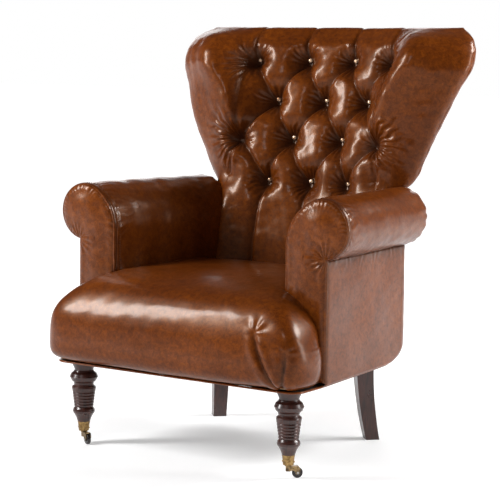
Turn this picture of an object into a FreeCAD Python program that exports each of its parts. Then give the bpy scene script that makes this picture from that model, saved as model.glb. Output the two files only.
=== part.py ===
import FreeCAD, Part

# Button-back leather armchair with scroll arms, turned front legs on brass castors and sabre rear legs.
# Units are millimetres. +Z is up and the chair faces -Y; "right" names the +X side throughout.
# Shapes are drawn with y = 0 on the front legs' axis, and place() then moves them so that the origin is
# the bottom centre of the whole chair's box.

import math
import os

V = FreeCAD.Vector

# ---- driving dimensions -------------------------------------------------------------------------

CHAIR_FRONT = -88.0        # front of the seat's bull-nose, from the front legs' axis
CHAIR_REAR = 706.0         # rearmost line of the outside back
CHAIR_TOP = 1017.0         # top of the back
RAIL_BOTTOM = 212.0        # underside of the seat frame, top of the legs
RAIL_TOP = 272.0
LEG_X = 300.0              # front leg axis, each side of the middle
LEATHER = 2.0              # leather with its wadding
PANEL = 3.0                # outside panels: leather with its backing

SIDE_X = 360.0             # outside panel at the arm's front
ARM_FRONT = 48.0           # front of the arm facings
ARM_START = 64.0           # front of the arm's own leather, behind the facing
ARM_REAR = 528.0           # rear end of the arm rolls
ARM_TAPER = 0.1            # how fast the sides draw in towards the back
ROLL_X = 345.0             # centre of the scroll at the arm's front
ROLL_Z = 562.0
ROLL_R = 70.5
INNER_X = 248.0            # inside face of the arm at its front
INNER_BEND_Z = 520.0       # where the inside face starts to roll over
INNER_BEND_R = 117.0
SEAT_DECK = 278.0          # top of the spring cloth
CORNER_R = 53.0            # vertical rear corner
BACK_BASE_Y = 512.0        # outside back at its foot
LUMBAR_X = 205.0           # half width of the buttoned middle

TRAIL = 21.0               # castor wheel behind its swivel axis
WHEEL_R = 12.5
WHEEL_W = 9.0
SWIVEL_GAP = 0.05          # radial running clearance
REST_TRAIL_DEG = {"left": -25.0, "right": 45.0}

ORIGIN = V(0, -(CHAIR_FRONT + CHAIR_REAR) / 2, 0)
MADE = {}


# ---- small helpers ------------------------------------------------------------------------------

def place(name, shape):
    """Keeps a finished sub-part under its node's name, in the chair's own frame."""
    shape = shape.copy()
    shape.translate(ORIGIN)
    MADE[name] = shape


def box(x0, x1, y0, y1, z0, z1):
    return Part.makeBox(x1 - x0, y1 - y0, z1 - z0, V(x0, y0, z0))


def mirrored(shape):
    return shape.mirror(V(0, 0, 0), V(1, 0, 0))


def prism(points, direction):
    """Extrudes a closed polygon of 3D points along a vector."""
    wire = Part.makePolygon(list(points) + [points[0]])
    return Part.Face(wire).extrude(direction)


def cylinder(radius, start, axis, length):
    return Part.makeCylinder(radius, length, start, axis)


def group(shapes):
    return Part.makeCompound(shapes)


def cut_all(shape, tools):
    for tool in tools:
        shape = shape.cut(tool)
    return shape


def largest(shape):
    """The biggest solid of a boolean's result, without its crumbs."""
    return max(shape.Solids, key=lambda s: s.Volume)


def arm_shift(y):
    """How far the arm has drawn in at depth y, compared with its front."""
    return -ARM_TAPER * (y - ARM_FRONT)


def along_arm(face, y0, y1):
    """Sweeps a face drawn at y0 back along the tapering arm to y1."""
    return face.extrude(V(-ARM_TAPER * (y1 - y0), y1 - y0, 0))


def arm_bar(x0, x1, y0, y1, z0, z1):
    """A bar parallel to the right arm; x0 and x1 hold at the arm's front."""
    dx = arm_shift(y0)
    corners = [(x0, z0), (x1, z0), (x1, z1), (x0, z1)]
    wire = Part.makePolygon([V(x + dx, y0, z) for x, z in corners + corners[:1]])
    return along_arm(Part.Face(wire), y0, y1)


def curve_at(table, z):
    """Reads a smooth monotone line through (height, value) pairs."""
    for (z0, v0), (z1, v1) in zip(table, table[1:]):
        if z <= z1:
            return v0 + (v1 - v0) * (z - z0) / (z1 - z0)
    return table[-1][1]


# ---- the shape of the back ----------------------------------------------------------------------

BACK_REAR = [(207, 512), (330, 516), (450, 532), (560, 560), (680, 598), (800, 642), (930, 690),
             (985, 706), (1005, 701), (1017, 694)]
BACK_FRONT = [(300, 440), (410, 457), (622, 508), (733, 541), (828, 573), (935, 606), (985, 634),
              (1005, 652), (1017, 664)]
BACK_HOLLOW = 0.0010       # the inside back's curve in plan: y falls by this times x squared
BACK_BOW = 0.0003          # the outside back's curve in plan

# height: outer half width, tip centre y, tip radius, ridge x, ridge y
WING = [
    (635, 296, 540, 30, 212, 491),
    (700, 330, 546, 36, 211, 487),
    (780, 367, 552, 42, 216, 485),
    (860, 402, 570, 45, 244, 484),
    (933, 430, 594, 46, 284, 486),
    (975, 424, 610, 40, 292, 512),
    (1003, 402, 628, 28, 292, 556),
    (1017, 376, 645, 24, 270, 612),
]


def back_front_y(x, z, inset=0.0):
    return curve_at(BACK_FRONT, z) - BACK_HOLLOW * x * x + inset


def back_rear_y(x, z, inset=0.0):
    return curve_at(BACK_REAR, z) - BACK_BOW * x * x - inset


def fan_lines(row, inset):
    """One level of the fan-shaped back, as a front line and a rear line that meet at the wing tips."""
    z, outer, tip_y, tip_r, ridge_x, ridge_y = row
    outer, tip_r, ridge_y = outer - inset, max(tip_r - inset, 4.0), ridge_y + inset
    tip = V(outer, tip_y, z)
    front_corner = V(outer - 0.3 * tip_r, tip_y - 0.75 * tip_r, z)
    mid_wing = V((ridge_x + front_corner.x) / 2 + 6, (ridge_y + front_corner.y) / 2 - 7, z)
    end_x = min(0.74 * ridge_x, 190.0)
    hollow_end = V(end_x, back_front_y(end_x, z, inset), z)
    hollow_mid = V(0.38 * ridge_x, back_front_y(0.38 * ridge_x, z, inset), z)
    half_front = [hollow_mid, hollow_end, V(ridge_x, ridge_y, z), mid_wing, front_corner, tip]
    rear_corner = V(outer - 0.45 * tip_r, min(tip_y + 0.8 * tip_r, back_rear_y(outer, z, inset)), z)
    half_rear = [tip, rear_corner, V(0.55 * outer, back_rear_y(0.55 * outer, z, inset), z)]
    front = across(half_front[::-1]) + [V(0, back_front_y(0, z, inset), z)] + half_front
    rear = half_rear + [V(0, back_rear_y(0, z, inset), z)] + across(half_rear[::-1])
    return front, rear


def across(points):
    return [V(-p.x, p.y, p.z) for p in points]


def row_at(z):
    """The wing's sizes at any height, straight between the rows of the table."""
    for low, high in zip(WING, WING[1:]):
        if z <= high[0]:
            t = (z - low[0]) / (high[0] - low[0])
            return (z,) + tuple(a + (b - a) * t for a, b in zip(low[1:], high[1:]))
    return (z,) + WING[-1][1:]


def middle_line(z, inset):
    """The front of the buttoned middle in plan, following the fan where the wings have begun."""
    if z < WING[0][0] - 1:
        return [V(x, back_front_y(x, z, inset), z) for x in PAD_XS]
    front, _ = fan_lines(row_at(z), inset)
    line = []
    for x in PAD_XS:
        for a, b in zip(front, front[1:]):
            if a.x <= x <= b.x:
                line.append(V(x, a.y + (b.y - a.y) * (x - a.x) / (b.x - a.x), z))
                break
    return line


def stack(sections):
    """A solid through closed polygons at rising levels, straight between them."""
    return Part.makeLoft([Part.makePolygon(points + points[:1]) for points in sections], True, True)


def wrap_line(row, inset):
    """The leather's line in plan at one level, from one wing's rear edge round the front to the other's."""
    front, rear = fan_lines(row, inset)
    return across([rear[1]]) + front + [rear[1]]


# ---- the frame ----------------------------------------------------------------------------------

def seat_frame():
    front = box(-330, 330, -48, -20, RAIL_BOTTOM, RAIL_TOP)
    rear = box(-262, 262, 470, 495, RAIL_BOTTOM, RAIL_TOP)
    side = arm_bar(312, 337, -20, 455, RAIL_BOTTOM, RAIL_TOP)
    front_block = box(255, 312, -20, 40, RAIL_BOTTOM, RAIL_TOP)
    rear_block = box(190, 255, 420, 470, RAIL_BOTTOM, RAIL_TOP).cut(side)
    bolt_hole = cylinder(4.0, V(LEG_X, 0, RAIL_BOTTOM - 1), V(0, 0, 1), 80)
    rear_bolt_hole = cylinder(4.0, V(217, 457, RAIL_BOTTOM - 1), V(0, 0, 1), 80)
    front_block = front_block.cut(bolt_hole)
    rear_block = rear_block.cut(rear_bolt_hole)
    place("front_seat_rail", front)
    place("rear_seat_rail", rear)
    place("right_seat_rail", side)
    place("left_seat_rail", mirrored(side))
    place("corner_blocks", group([front_block, mirrored(front_block), rear_block, mirrored(rear_block)]))


def arm_frame():
    post = box(300, 342, 66, 100, RAIL_TOP, 545)
    rail = arm_bar(320, 368, 66, 480, 545, 570)
    upright = back_upright()
    rail = rail.cut(upright)
    for side, flip in (("right", lambda s: s), ("left", mirrored)):
        place(side + "_arm_post", flip(post))
        place(side + "_arm_rail", flip(rail))
        place(side + "_back_upright", flip(upright))
        place(side + "_wing_board", flip(wing_board()))
    return [post, rail, upright, wing_board()]


def back_upright():
    """Stands on the rear rail's end and leans with the outside back."""
    levels = [RAIL_TOP, 400, 520, 640, 760, 880, 950]
    rear = [V(210, curve_at(BACK_REAR, z) - 24, z) for z in levels]
    front = [V(210, curve_at(BACK_REAR, z) - 52, z) for z in reversed(levels)]
    return prism(rear + front, V(28, 0, 0))


def wing_board():
    """The shaped board that carries the wing, set against the upright's outer side."""
    outline = [(239, 650), (282, 652), (340, 800), (386, 915), (370, 950), (239, 950)]
    return prism([V(x, board_front(z), z) for x, z in outline], V(0, 20, 0))


def board_front(z):
    """Depth of the wing board's front face, which leans with the back."""
    return 544 + 0.2 * (z - 650)


def back_rails():
    top = [V(-238, 652, 952), V(-238, 672, 952), V(-238, 682, 992), V(-238, 664, 992)]
    top_rail = prism(top, V(476, 0, 0))
    lumbar_rail = box(-209, 209, 484, 506, 400, 450)
    place("top_back_rail", top_rail)
    place("lumbar_rail", lumbar_rail)


WEB_FOOT = (506.3, 450.0)  # rear face of the lumbar rail at its top
WEB_SLOPE = 0.32           # the straps lean back with the rails they join


def web_y(z):
    return WEB_FOOT[0] + WEB_SLOPE * (z - WEB_FOOT[1])


def back_webbing():
    """Upright straps behind the lumbar and top rails, with a cross strap on their front at each row."""
    straps = []
    for x in (-140, -47, 47, 140):
        profile = [(506.3, 405), (508.8, 405), (508.8, 450), (web_y(950) + 2.5, 950), (web_y(950), 950),
                   (506.3, 450)]
        straps.append(prism([V(x - 25, y, z) for y, z in profile], V(50, 0, 0)))
    for z in (500, 603, 711, 808, 905):
        profile = [(web_y(z) - 0.2, z), (web_y(z) - 2.7, z), (web_y(z + 44) - 2.7, z + 44),
                   (web_y(z + 44) - 0.2, z + 44)]
        straps.append(prism([V(-209, y, h) for y, h in profile], V(418, 0, 0)))
    place("back_webbing", group(straps))


# ---- the seat -----------------------------------------------------------------------------------

def seat_profile(inset):
    """Side outline of the seat at its middle, from the foot of the bull-nose to the back."""
    top = [(-53, 209), (-80, 228), (CHAIR_FRONT, 262), (-83, 315), (-60, 368), (-20, 405),
           (60, 428), (200, 438), (340, 434), (450, 420)]
    return [V(0, y + inset * (0.9 if i < 6 else 0), z - inset * (0 if i < 4 else 1))
            for i, (y, z) in enumerate(top)]


def seat_block(inset):
    """Seat upholstery as one solid: bull-nose in front of the arms, deck between them."""
    profile = seat_profile(inset)
    curve = Part.BSplineCurve()
    curve.interpolate(Points=profile)
    low = RAIL_BOTTOM - 2 if inset == 0 else RAIL_BOTTOM
    foot = V(0, profile[0].y, low)
    corners = [profile[-1], V(0, 450, SEAT_DECK), V(0, -18, SEAT_DECK), V(0, -18, low), foot, profile[0]]
    closing = [Part.makeLine(a, b) for a, b in zip(corners, corners[1:])]
    section = Part.Face(Part.Wire([curve.toShape()] + closing))
    body = section.extrude(V(400, 0, 0))
    half = nose_front_view(inset).common(body)
    half = half.common(plan_view(inset))
    return half.fuse(mirrored(half)).removeSplitter()


def nose_front_view(inset):
    """Front outline of the right half, whose corner rolls down to the side."""
    edge = [(150, 440), (241, 428), (290, 401), (326, 372), (352, 338), (366, 300), (371, 262),
            (366, 235), (357, 205)]
    points = [V(x - inset * 0.9, -120, z - inset * (1 if z > 300 else 0)) for x, z in edge]
    curve = Part.BSplineCurve()
    curve.interpolate(Points=points)
    start, end = V(0, -120, 450), V(0, -120, 190)
    wire = Part.Wire([
        Part.makeLine(start, V(150, -120, 450)),
        Part.makeLine(V(150, -120, 450), points[0]),
        curve.toShape(),
        Part.makeLine(points[-1], V(points[-1].x, -120, 190)),
        Part.makeLine(V(points[-1].x, -120, 190), end),
        Part.makeLine(end, start),
    ])
    return Part.Face(wire).extrude(V(0, 700, 0))


def plan_view(inset):
    """Plan outline of the right half: full width in front of the arm, then inside the arm."""
    side, corner, front = 371 - inset, 60, CHAIR_FRONT + inset
    rear = ARM_FRONT - 0.3
    inner0 = INNER_X - 0.3 - inset + arm_shift(rear)
    inner1 = INNER_X - 0.3 - inset + arm_shift(455)
    mid = V(side - corner * (1 - math.sin(math.pi / 4)), front + corner * (1 - math.sin(math.pi / 4)), 180)
    wire = Part.Wire([
        Part.makeLine(V(0, front, 180), V(side - corner, front, 180)),
        Part.Arc(V(side - corner, front, 180), mid, V(side, front + corner, 180)).toShape(),
        Part.makeLine(V(side, front + corner, 180), V(side, rear, 180)),
        Part.makeLine(V(side, rear, 180), V(inner0, rear, 180)),
        Part.makeLine(V(inner0, rear, 180), V(inner1, 455, 180)),
        Part.makeLine(V(inner1, 455, 180), V(0, 455, 180)),
        Part.makeLine(V(0, 455, 180), V(0, front, 180)),
    ])
    return Part.Face(wire).extrude(V(0, 0, 300))


def seat_springs():
    """Serpentine springs from the front rail to the rear rail, each end under a clip."""
    wire_r, loop_r, half_run = 1.9, 10.0, 14.0
    first, last = -34.0, 482.0
    loops = int((last - first - 40) // (2 * loop_r))
    start = first + (last - first - loops * 2 * loop_r) / 2
    z = RAIL_TOP + wire_r
    springs, clips = [], []
    for x in (-200, -100, 0, 100, 200):
        edges, y, side = [], start, 1
        edges.append(Part.makeLine(V(x, first, z), V(x, start, z)))
        edges.append(Part.makeLine(V(x, start, z), V(x + half_run, start, z)))
        for i in range(loops):
            a, b = V(x + side * half_run, y, z), V(x + side * half_run, y + 2 * loop_r, z)
            mid = V(x + side * (half_run + loop_r), y + loop_r, z)
            edges.append(Part.Arc(a, mid, b).toShape())
            y += 2 * loop_r
            run_end = x if i == loops - 1 else x - side * half_run
            edges.append(Part.makeLine(b, V(run_end, y, z)))
            side = -side
        edges.append(Part.makeLine(V(x, y, z), V(x, last, z)))
        springs.append(zigzag(edges, wire_r))
        for y_end in (first, last):
            clips.append(spring_clip(x, y_end, wire_r))
    place("seat_springs", group(springs))
    place("spring_clips", group(clips))


def zigzag(edges, wire_r):
    """Round wire along a path of straight runs and half-turns; corners are ball-jointed."""
    parts = []
    for edge in edges:
        start = edge.valueAt(edge.FirstParameter)
        tangent = edge.tangentAt(edge.FirstParameter)
        ring = Part.Wire([Part.makeCircle(wire_r, start, tangent)])
        parts.append(Part.Wire([edge]).makePipeShell([ring], True, False))
    for edge in edges[:2] + edges[-2:]:
        end = edge.valueAt(edge.LastParameter)
        parts.append(Part.makeSphere(wire_r, end))
    solid = parts[0].multiFuse(parts[1:])
    return largest(solid)


def spring_clip(x, y, wire_r):
    top = RAIL_TOP + 2 * wire_r + 1.5
    clip = box(x - 9, x + 9, y - 5, y + 5, RAIL_TOP, top)
    return clip.cut(box(x - wire_r - 0.1, x + wire_r + 0.1, y - 6, y + 6, RAIL_TOP - 1, top - 1.4))


def seat():
    place("spring_cloth", box(-240, 240, -20, 450, SEAT_DECK - 1.2, SEAT_DECK - 0.1))
    outer, inner = seat_block(0), seat_block(LEATHER)
    front_rail = box(-331, 331, -48, 60, 200, SEAT_DECK)
    cover = outer.cut(inner)
    cover = cover.cut(box(-400, 400, -18.5, 460, 150, SEAT_DECK + 0.5)).cut(front_rail)
    pad = inner.cut(front_rail).cut(box(-400, 400, -20, 60, 150, SEAT_DECK))
    side_gap = box(-400, 400, -48, 500, 150, SEAT_DECK)
    pad = pad.cut(side_gap)
    place("seat_cover", largest(cover))
    place("seat_pad", largest(pad))


# ---- the arms -----------------------------------------------------------------------------------

def scroll_wire(inset, y, closed_bottom):
    """Outline of the right arm at depth y: inside face, roll over the top, scroll, outside face."""
    r, bend = ROLL_R - inset, INNER_BEND_R - inset
    x_in, x_out = INNER_X + inset, SIDE_X - inset
    bend_x = INNER_X + INNER_BEND_R
    to_roll = V(ROLL_X - bend_x, 0, ROLL_Z - INNER_BEND_Z)
    unit = to_roll.multiply(1 / to_roll.Length)
    join = V(ROLL_X, y, ROLL_Z) + V(unit.x * r, 0, unit.z * r)
    arc_mid_angle = (math.pi + math.atan2(unit.z, unit.x)) / 2
    bend_mid = V(bend_x + bend * math.cos(arc_mid_angle), y, INNER_BEND_Z + bend * math.sin(arc_mid_angle))
    under_z = ROLL_Z - math.sqrt(r * r - (x_out - ROLL_X) ** 2)
    under = V(x_out, y, under_z)
    outermost = V(ROLL_X + r, y, ROLL_Z)
    foot_in, foot_out = V(x_in, y, closed_bottom), V(x_out, y, closed_bottom)
    dx = V(arm_shift(y), 0, 0)
    edges = [
        Part.makeLine(foot_in + dx, V(x_in, y, INNER_BEND_Z) + dx),
        Part.Arc(V(x_in, y, INNER_BEND_Z) + dx, bend_mid + dx, join + dx).toShape(),
        Part.Arc(join + dx, outermost + dx, under + dx).toShape(),
        Part.makeLine(under + dx, foot_out + dx),
        Part.makeLine(foot_out + dx, foot_in + dx),
    ]
    return Part.Wire(edges)


def arm_core(inset, y0, y1, foot):
    return along_arm(Part.Face(scroll_wire(inset, y0, foot)), y0, y1)


def arm_facing():
    """Leather cap over a shaped board that closes the front of the arm."""
    foot = 216.0
    outer = arm_core(0, ARM_FRONT, ARM_START, foot)
    inner = arm_core(LEATHER, ARM_FRONT + 4, ARM_START + 1, foot + LEATHER)
    board = arm_core(LEATHER + 0.2, ARM_FRONT + 4, ARM_START, foot + LEATHER + 0.2)
    side_rail = arm_bar(312, 337, -20, 455, RAIL_BOTTOM, RAIL_TOP)
    return outer.cut(inner).cut(side_rail), board.cut(side_rail)


def rounded_rear(x_pad):
    """Plan shape that rounds the rear end of the roll; x_pad draws it in."""
    r = 46.0
    dx = arm_shift(ARM_REAR)
    left, right = INNER_X - 40 + dx, ROLL_X + ROLL_R + dx - x_pad + 0.5
    rear = ARM_REAR - x_pad
    mid = V(right - r * (1 - math.sin(math.pi / 4)), rear - r * (1 - math.sin(math.pi / 4)), 250)
    front_right = V(right + ARM_TAPER * (rear - r), 0, 250)
    wire = Part.Wire([
        Part.makeLine(V(left, 0, 250), front_right),
        Part.makeLine(front_right, V(right, rear - r, 250)),
        Part.Arc(V(right, rear - r, 250), mid, V(right - r, rear, 250)).toShape(),
        Part.makeLine(V(right - r, rear, 250), V(left, rear, 250)),
        Part.makeLine(V(left, rear, 250), V(left, 0, 250)),
    ])
    return Part.Face(wire).extrude(V(0, 0, 500))


def arm(frame):
    """The right arm's padding and leather, round the frame."""
    upright = frame[2]
    outer = arm_core(0, ARM_START + 0.3, ARM_REAR, RAIL_TOP + 10).common(rounded_rear(0))
    inner = arm_core(LEATHER, ARM_START + 0.3, ARM_REAR, RAIL_TOP + 10).common(rounded_rear(LEATHER))
    behind_back = box(100, 238.5, 452, 600, 200, 700)
    panel_side = arm_bar(ROLL_X - 20, SIDE_X + 100, 0, 600, 200, ROLL_Z - ROLL_R + 0.5)
    hollow = arm_bar(286, ROLL_X + 60, 0, 600, 200, ROLL_Z - ROLL_R + 0.5)
    cover = outer.cut(inner).cut(panel_side).cut(behind_back)
    below = box(100, 400, 0, 600, 150, SEAT_DECK + 20)
    behind_corner = box(100, 400, 505, 600, 150, ROLL_Z - ROLL_R + 0.5)
    cover = cut_all(cover, [below, behind_corner])
    filling = cut_all(inner, [hollow, behind_back, below, behind_corner])
    filling = cut_all(filling, frame)
    roll = along_arm(Part.Face(Part.Wire([
        Part.makeCircle(ROLL_R + 2, V(ROLL_X + arm_shift(ARM_START), ARM_START, ROLL_Z), V(0, 1, 0))
    ])), ARM_START, ARM_REAR)
    slab = filling.cut(roll)
    roll_pad = filling.common(roll)
    return largest(cover), largest(slab), largest(roll_pad)


def outside_arm():
    """Side panel that turns the rounded rear corner, and the thin board that lines it."""
    top = ROLL_Z - ROLL_R - 0.3
    cover = corner_band(0, PANEL, 208.0, top)
    lining = corner_band(PANEL + 0.2, PANEL + 3.2, RAIL_BOTTOM, top - 1)
    return cover, lining


def corner_band(inset0, inset1, z0, z1):
    def outline(inset):
        r = CORNER_R - inset
        dx = SIDE_X - inset
        y0, rear = ARM_START + 0.3, BACK_BASE_Y - inset
        corner_y = rear - r
        corner_x = dx + arm_shift(corner_y)
        a = V(dx + arm_shift(y0), y0, z0)
        b = V(corner_x, corner_y, z0)
        mid = V(corner_x - r * (1 - math.cos(math.pi / 4)), corner_y + r * math.sin(math.pi / 4), z0)
        c = V(corner_x - r, rear, z0)
        return a, b, mid, c
    a0, b0, m0, c0 = outline(inset0)
    a1, b1, m1, c1 = outline(inset1)
    wire = Part.Wire([
        Part.makeLine(a0, b0), Part.Arc(b0, m0, c0).toShape(), Part.makeLine(c0, c1),
        Part.Arc(c1, m1, b1).toShape(), Part.makeLine(b1, a1), Part.makeLine(a1, a0),
    ])
    return Part.Face(wire).extrude(V(0, 0, z1 - z0))


def arms(frame):
    facing, board = arm_facing()
    cover, slab, roll_pad = arm(frame)
    outside, lining = outside_arm()
    for side, flip in (("right", lambda s: s), ("left", mirrored)):
        place(side + "_arm_facing", flip(facing))
        place(side + "_facing_board", flip(board.cut(frame[0])))
        place(side + "_inside_arm_cover", flip(cover))
        place(side + "_inside_arm_pad", flip(slab))
        place(side + "_arm_roll_pad", flip(roll_pad))
        place(side + "_outside_arm_cover", flip(outside))
        place(side + "_outside_arm_lining", flip(lining))


# ---- the back upholstery ------------------------------------------------------------------------

BUTTON_ROWS = [
    # height, depth at the middle, half spacings outwards
    (935, 643, (69, 204)),
    (833, 612, (0, 137)),
    (736, 578, (73, 204)),
    (628, 543, (0, 119)),
]
BUTTON_HOLLOW = 0.00095
BUTTON_R = 6.5
WELL_LEAN = 0.31           # the wells stand square to the leaning inside back


def button_points():
    points = []
    for z, y, xs in BUTTON_ROWS:
        for x in xs:
            for side in ((1,) if x == 0 else (-1, 1)):
                points.append(V(side * x, y - BUTTON_HOLLOW * x * x, z))
    return points


def button_axis(p):
    """Direction out of a button's well, towards the sitter."""
    axis = V(-2 * BUTTON_HOLLOW * p.x, -1, WELL_LEAN)
    return axis.normalize()


def button(p):
    """Covered button: a shallow dome on a flat base."""
    axis = button_axis(p)
    base = cylinder(BUTTON_R, p - axis * 2.0, axis, 2.0)
    dome = Part.makeSphere(9.5, p - axis * 5.6)
    dome = dome.common(cylinder(BUTTON_R, p, axis, 6.0))
    return base.fuse(dome)


def twine(p):
    """Waxed twine from a button back to the webbing."""
    axis = button_axis(p)
    return cylinder(1.0, p - axis * 12.0, axis, 10.0)


LOW_LEVELS = [436, 451, 500, 560, 634.7]     # the buttoned middle goes on down between the arms
PAD_INSET = LEATHER + 3.0  # soft wadding fills the space between the pads and the leather
PAD_XS = [-LUMBAR_X, -150, -80, 0, 80, 150, LUMBAR_X]


def middle_rear(z):
    """Rear of the middle's padding: on the lumbar rail, the cross straps, then the top rail."""
    if z <= 451:
        return 483.5
    return min(web_y(z) - 3.0, 651.5) if z > 944 else web_y(z) - 3.0


def middle_pad():
    levels = LOW_LEVELS + [700, 780, 860, 943, 952, 990]
    sections = []
    for z in levels:
        rear = [V(x, middle_rear(z), z) for x in (LUMBAR_X, -LUMBAR_X)]
        sections.append(middle_line(z, PAD_INSET) + rear)
    return stack(sections)


def top_pad():
    """Soft roll over the top rail."""
    profile = [(645, 990.2), (663, 990.2), (664, 992.3), (683, 992.3), (683, 1003), (677, 1014.8),
               (669, 1014.8), (659, 1004)]
    return prism([V(-LUMBAR_X, y, z) for y, z in profile], V(2 * LUMBAR_X, 0, 0))


def wing_pad():
    """Padding of the right wing in front of its board and of the upright."""
    sections = []
    for row in WING[:-1] + [(1014.8,) + WING[-1][1:]]:
        z = row[0]
        front, _ = fan_lines(row, PAD_INSET)
        board = board_front(z) - 0.4
        upright = min(board - 0.5, curve_at(BACK_REAR, z) - 52.6)
        inside = V(LUMBAR_X + 0.3, min(middle_line(z, PAD_INSET)[-1].y, upright - 4), z)
        tip, tip_radius = front[-1], row[3]
        tail = [V(tip.x - 0.55 * tip_radius, max(board, tip.y + 3), z), V(240, board, z),
                V(240, upright, z), V(LUMBAR_X + 0.3, upright, z)]
        sections.append([inside] + front[-4:] + tail)
    return stack(sections)


def inside_back_leather():
    """Leather over the wings and the middle as one skin, its cap over the top, and its lower part."""
    rows = WING[:-1] + [(1015.0,) + WING[-1][1:]]
    upper = stack([wrap_line(row, 0) + wrap_line(row, LEATHER)[::-1] for row in rows])
    top_front, top_rear = fan_lines(rows[-1], 0)
    cap_line = top_front + [V(p.x, p.y - PANEL - 0.6, p.z) for p in top_rear[1:-1]]
    cap = prism(cap_line, V(0, 0, LEATHER))
    lower = stack([middle_line(z, 0) + middle_line(z, LEATHER)[::-1] for z in LOW_LEVELS])
    return [upper, cap, lower]


def back_upholstery(wood):
    points = button_points()
    pockets = group([cylinder(BUTTON_R + 1.5, p - button_axis(p) * 2.0, button_axis(p), 70.0) for p in points])
    twines = [twine(p) for p in points]
    skins = inside_back_leather()
    upright, board = wood[2], wood[3]
    pad = cut_all(middle_pad(), skins + [pockets, group(twines)])
    wing = cut_all(wing_pad(), skins + [pockets, group(twines), upright, board])
    wing = largest(wing)
    leather = [skin.cut(pockets) for skin in skins]
    place("inside_back_cover", group([largest(piece) for piece in leather]))
    place("back_pad", largest(pad))
    place("back_top_pad", top_pad())
    place("right_wing_pad", wing)
    place("left_wing_pad", mirrored(wing))
    place("back_buttons", group([button(p) for p in points]))
    place("button_twines", group(twines))
    place("outside_back_cover", outside_back())


def outside_back():
    """One bowed panel from the rear rail to the top, narrow between the arms and wide at the wings."""
    levels = [(208, 262, 0), (330, 260, 0), (450, 258, 0), (560, 256, 0), (630, 260, 0),
              (700, 306, BACK_BOW), (780, 340, BACK_BOW), (860, 374, BACK_BOW), (933, 400, BACK_BOW),
              (985, 390, BACK_BOW), (1005, 376, BACK_BOW), (1014.8, 352, BACK_BOW)]
    sections = []
    for z, half, bow in levels:
        rear = [V(half * i / 5, curve_at(BACK_REAR, z) - bow * (half * i / 5) ** 2, z) for i in range(-5, 6)]
        sections.append(rear + [V(p.x, p.y - PANEL, p.z) for p in reversed(rear)])
    return stack(sections)


# ---- legs and castors ---------------------------------------------------------------------------

# height, radius up the turned leg, above the brass cup
LEG_TURNING = [(58, 16.2), (66, 19.2), (73, 23.2), (76, 25.6), (81, 27.0), (86, 25.6), (89, 23.2)]
SHAFT_BOTTOM, SHAFT_TOP, SHAFT_RINGS = 90.0, 134.0, 6
SHAFT_R0, SHAFT_R1 = 23.6, 28.2
LEG_UPPER = [(138, 29.6), (141, 28.6), (144, 24.6), (147, 23.8), (151, 25.0), (156, 30.0), (165, 34.4),
             (173, 31.0), (178, 25.0), (182, 22.9), (187, 24.2), (196, 28.4), (203, 31.4), (207, 32.0),
             (RAIL_BOTTOM, 32.0)]


def front_leg():
    """Turned leg: tapered spigot in the cup, cone, bead, ringed shaft, bead, ball and flared collar."""
    spigot = [(34.0, 10.5), (54.0, 13.0), (54.05, 15.0)]
    outline = spigot + LEG_TURNING
    pitch = (SHAFT_TOP - SHAFT_BOTTOM) / SHAFT_RINGS
    for i in range(SHAFT_RINGS):
        z = SHAFT_BOTTOM + i * pitch
        r = SHAFT_R0 + (SHAFT_R1 - SHAFT_R0) * i / (SHAFT_RINGS - 1)
        outline += [(z + 0.8, r - 1.6), (z + 0.30 * pitch, r), (z + 0.78 * pitch, r + 0.3)]
    outline += LEG_UPPER
    points = [V(r, 0, z) for z, r in outline]
    wire = Part.makePolygon([V(0, 0, 34.0)] + points + [V(0, 0, RAIL_BOTTOM), V(0, 0, 34.0)])
    leg = Part.Face(wire).revolve(V(0, 0, 0), V(0, 0, 1), 360)
    leg = leg.cut(cylinder(4.6, V(0, 0, 30), V(0, 0, 1), 20))
    leg = leg.cut(cylinder(4.0, V(0, 0, 150), V(0, 0, 1), 70))
    return leg


def caster_cup():
    outer = Part.makeCone(12.3, 14.8, 54.0 - 31.0, V(0, 0, 31.0))
    lip = cylinder(15.3, V(0, 0, 51.5), V(0, 0, 1), 2.5)
    cup = outer.fuse(lip)
    inside = Part.makeCone(10.5, 13.0, 20.0, V(0, 0, 34.0))
    return cup.cut(inside).cut(cylinder(4.0 + SWIVEL_GAP, V(0, 0, 30), V(0, 0, 1), 6))


def caster_horn():
    """Pintle, swivel boss and a two-sided fork that trails towards +X before it is turned."""
    pintle = cylinder(4.0, V(0, 0, 20), V(0, 0, 1), 24)
    boss = cylinder(6.0, V(0, 0, 16), V(0, 0, 1), 14.6)
    collar = cylinder(8.0, V(0, 0, 28.0), V(0, 0, 1), 2.6)
    half = WHEEL_W / 2 + 0.6
    cheek_t = 2.0
    arm_out = [V(0, 0, 28.4), V(TRAIL + 2, 0, 28.4), V(TRAIL + 6, 0, 20), V(TRAIL + 4.4, 0, 9.4),
               V(TRAIL - 4.4, 0, 9.4), V(TRAIL - 8, 0, 18), V(4, 0, 18), V(0, 0, 18)]
    cheeks = [prism([V(p.x, y, p.z) for p in arm_out], V(0, cheek_t, 0)) for y in (half, -half - cheek_t)]
    bridge = box(0, TRAIL + 2, -half - cheek_t, half + cheek_t, 26.0, 28.4)
    root = box(0, 6.4, -half - cheek_t, half + cheek_t, 18, 28.4)
    horn = pintle.multiFuse([boss, collar, bridge, root] + cheeks)
    axle_hole = cylinder(1.5, V(TRAIL, -20, WHEEL_R), V(0, 1, 0), 40)
    wheel_space = cylinder(WHEEL_R + 0.7, V(TRAIL, -half, WHEEL_R), V(0, 1, 0), 2 * half)
    return horn.cut(axle_hole).cut(wheel_space)


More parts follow.
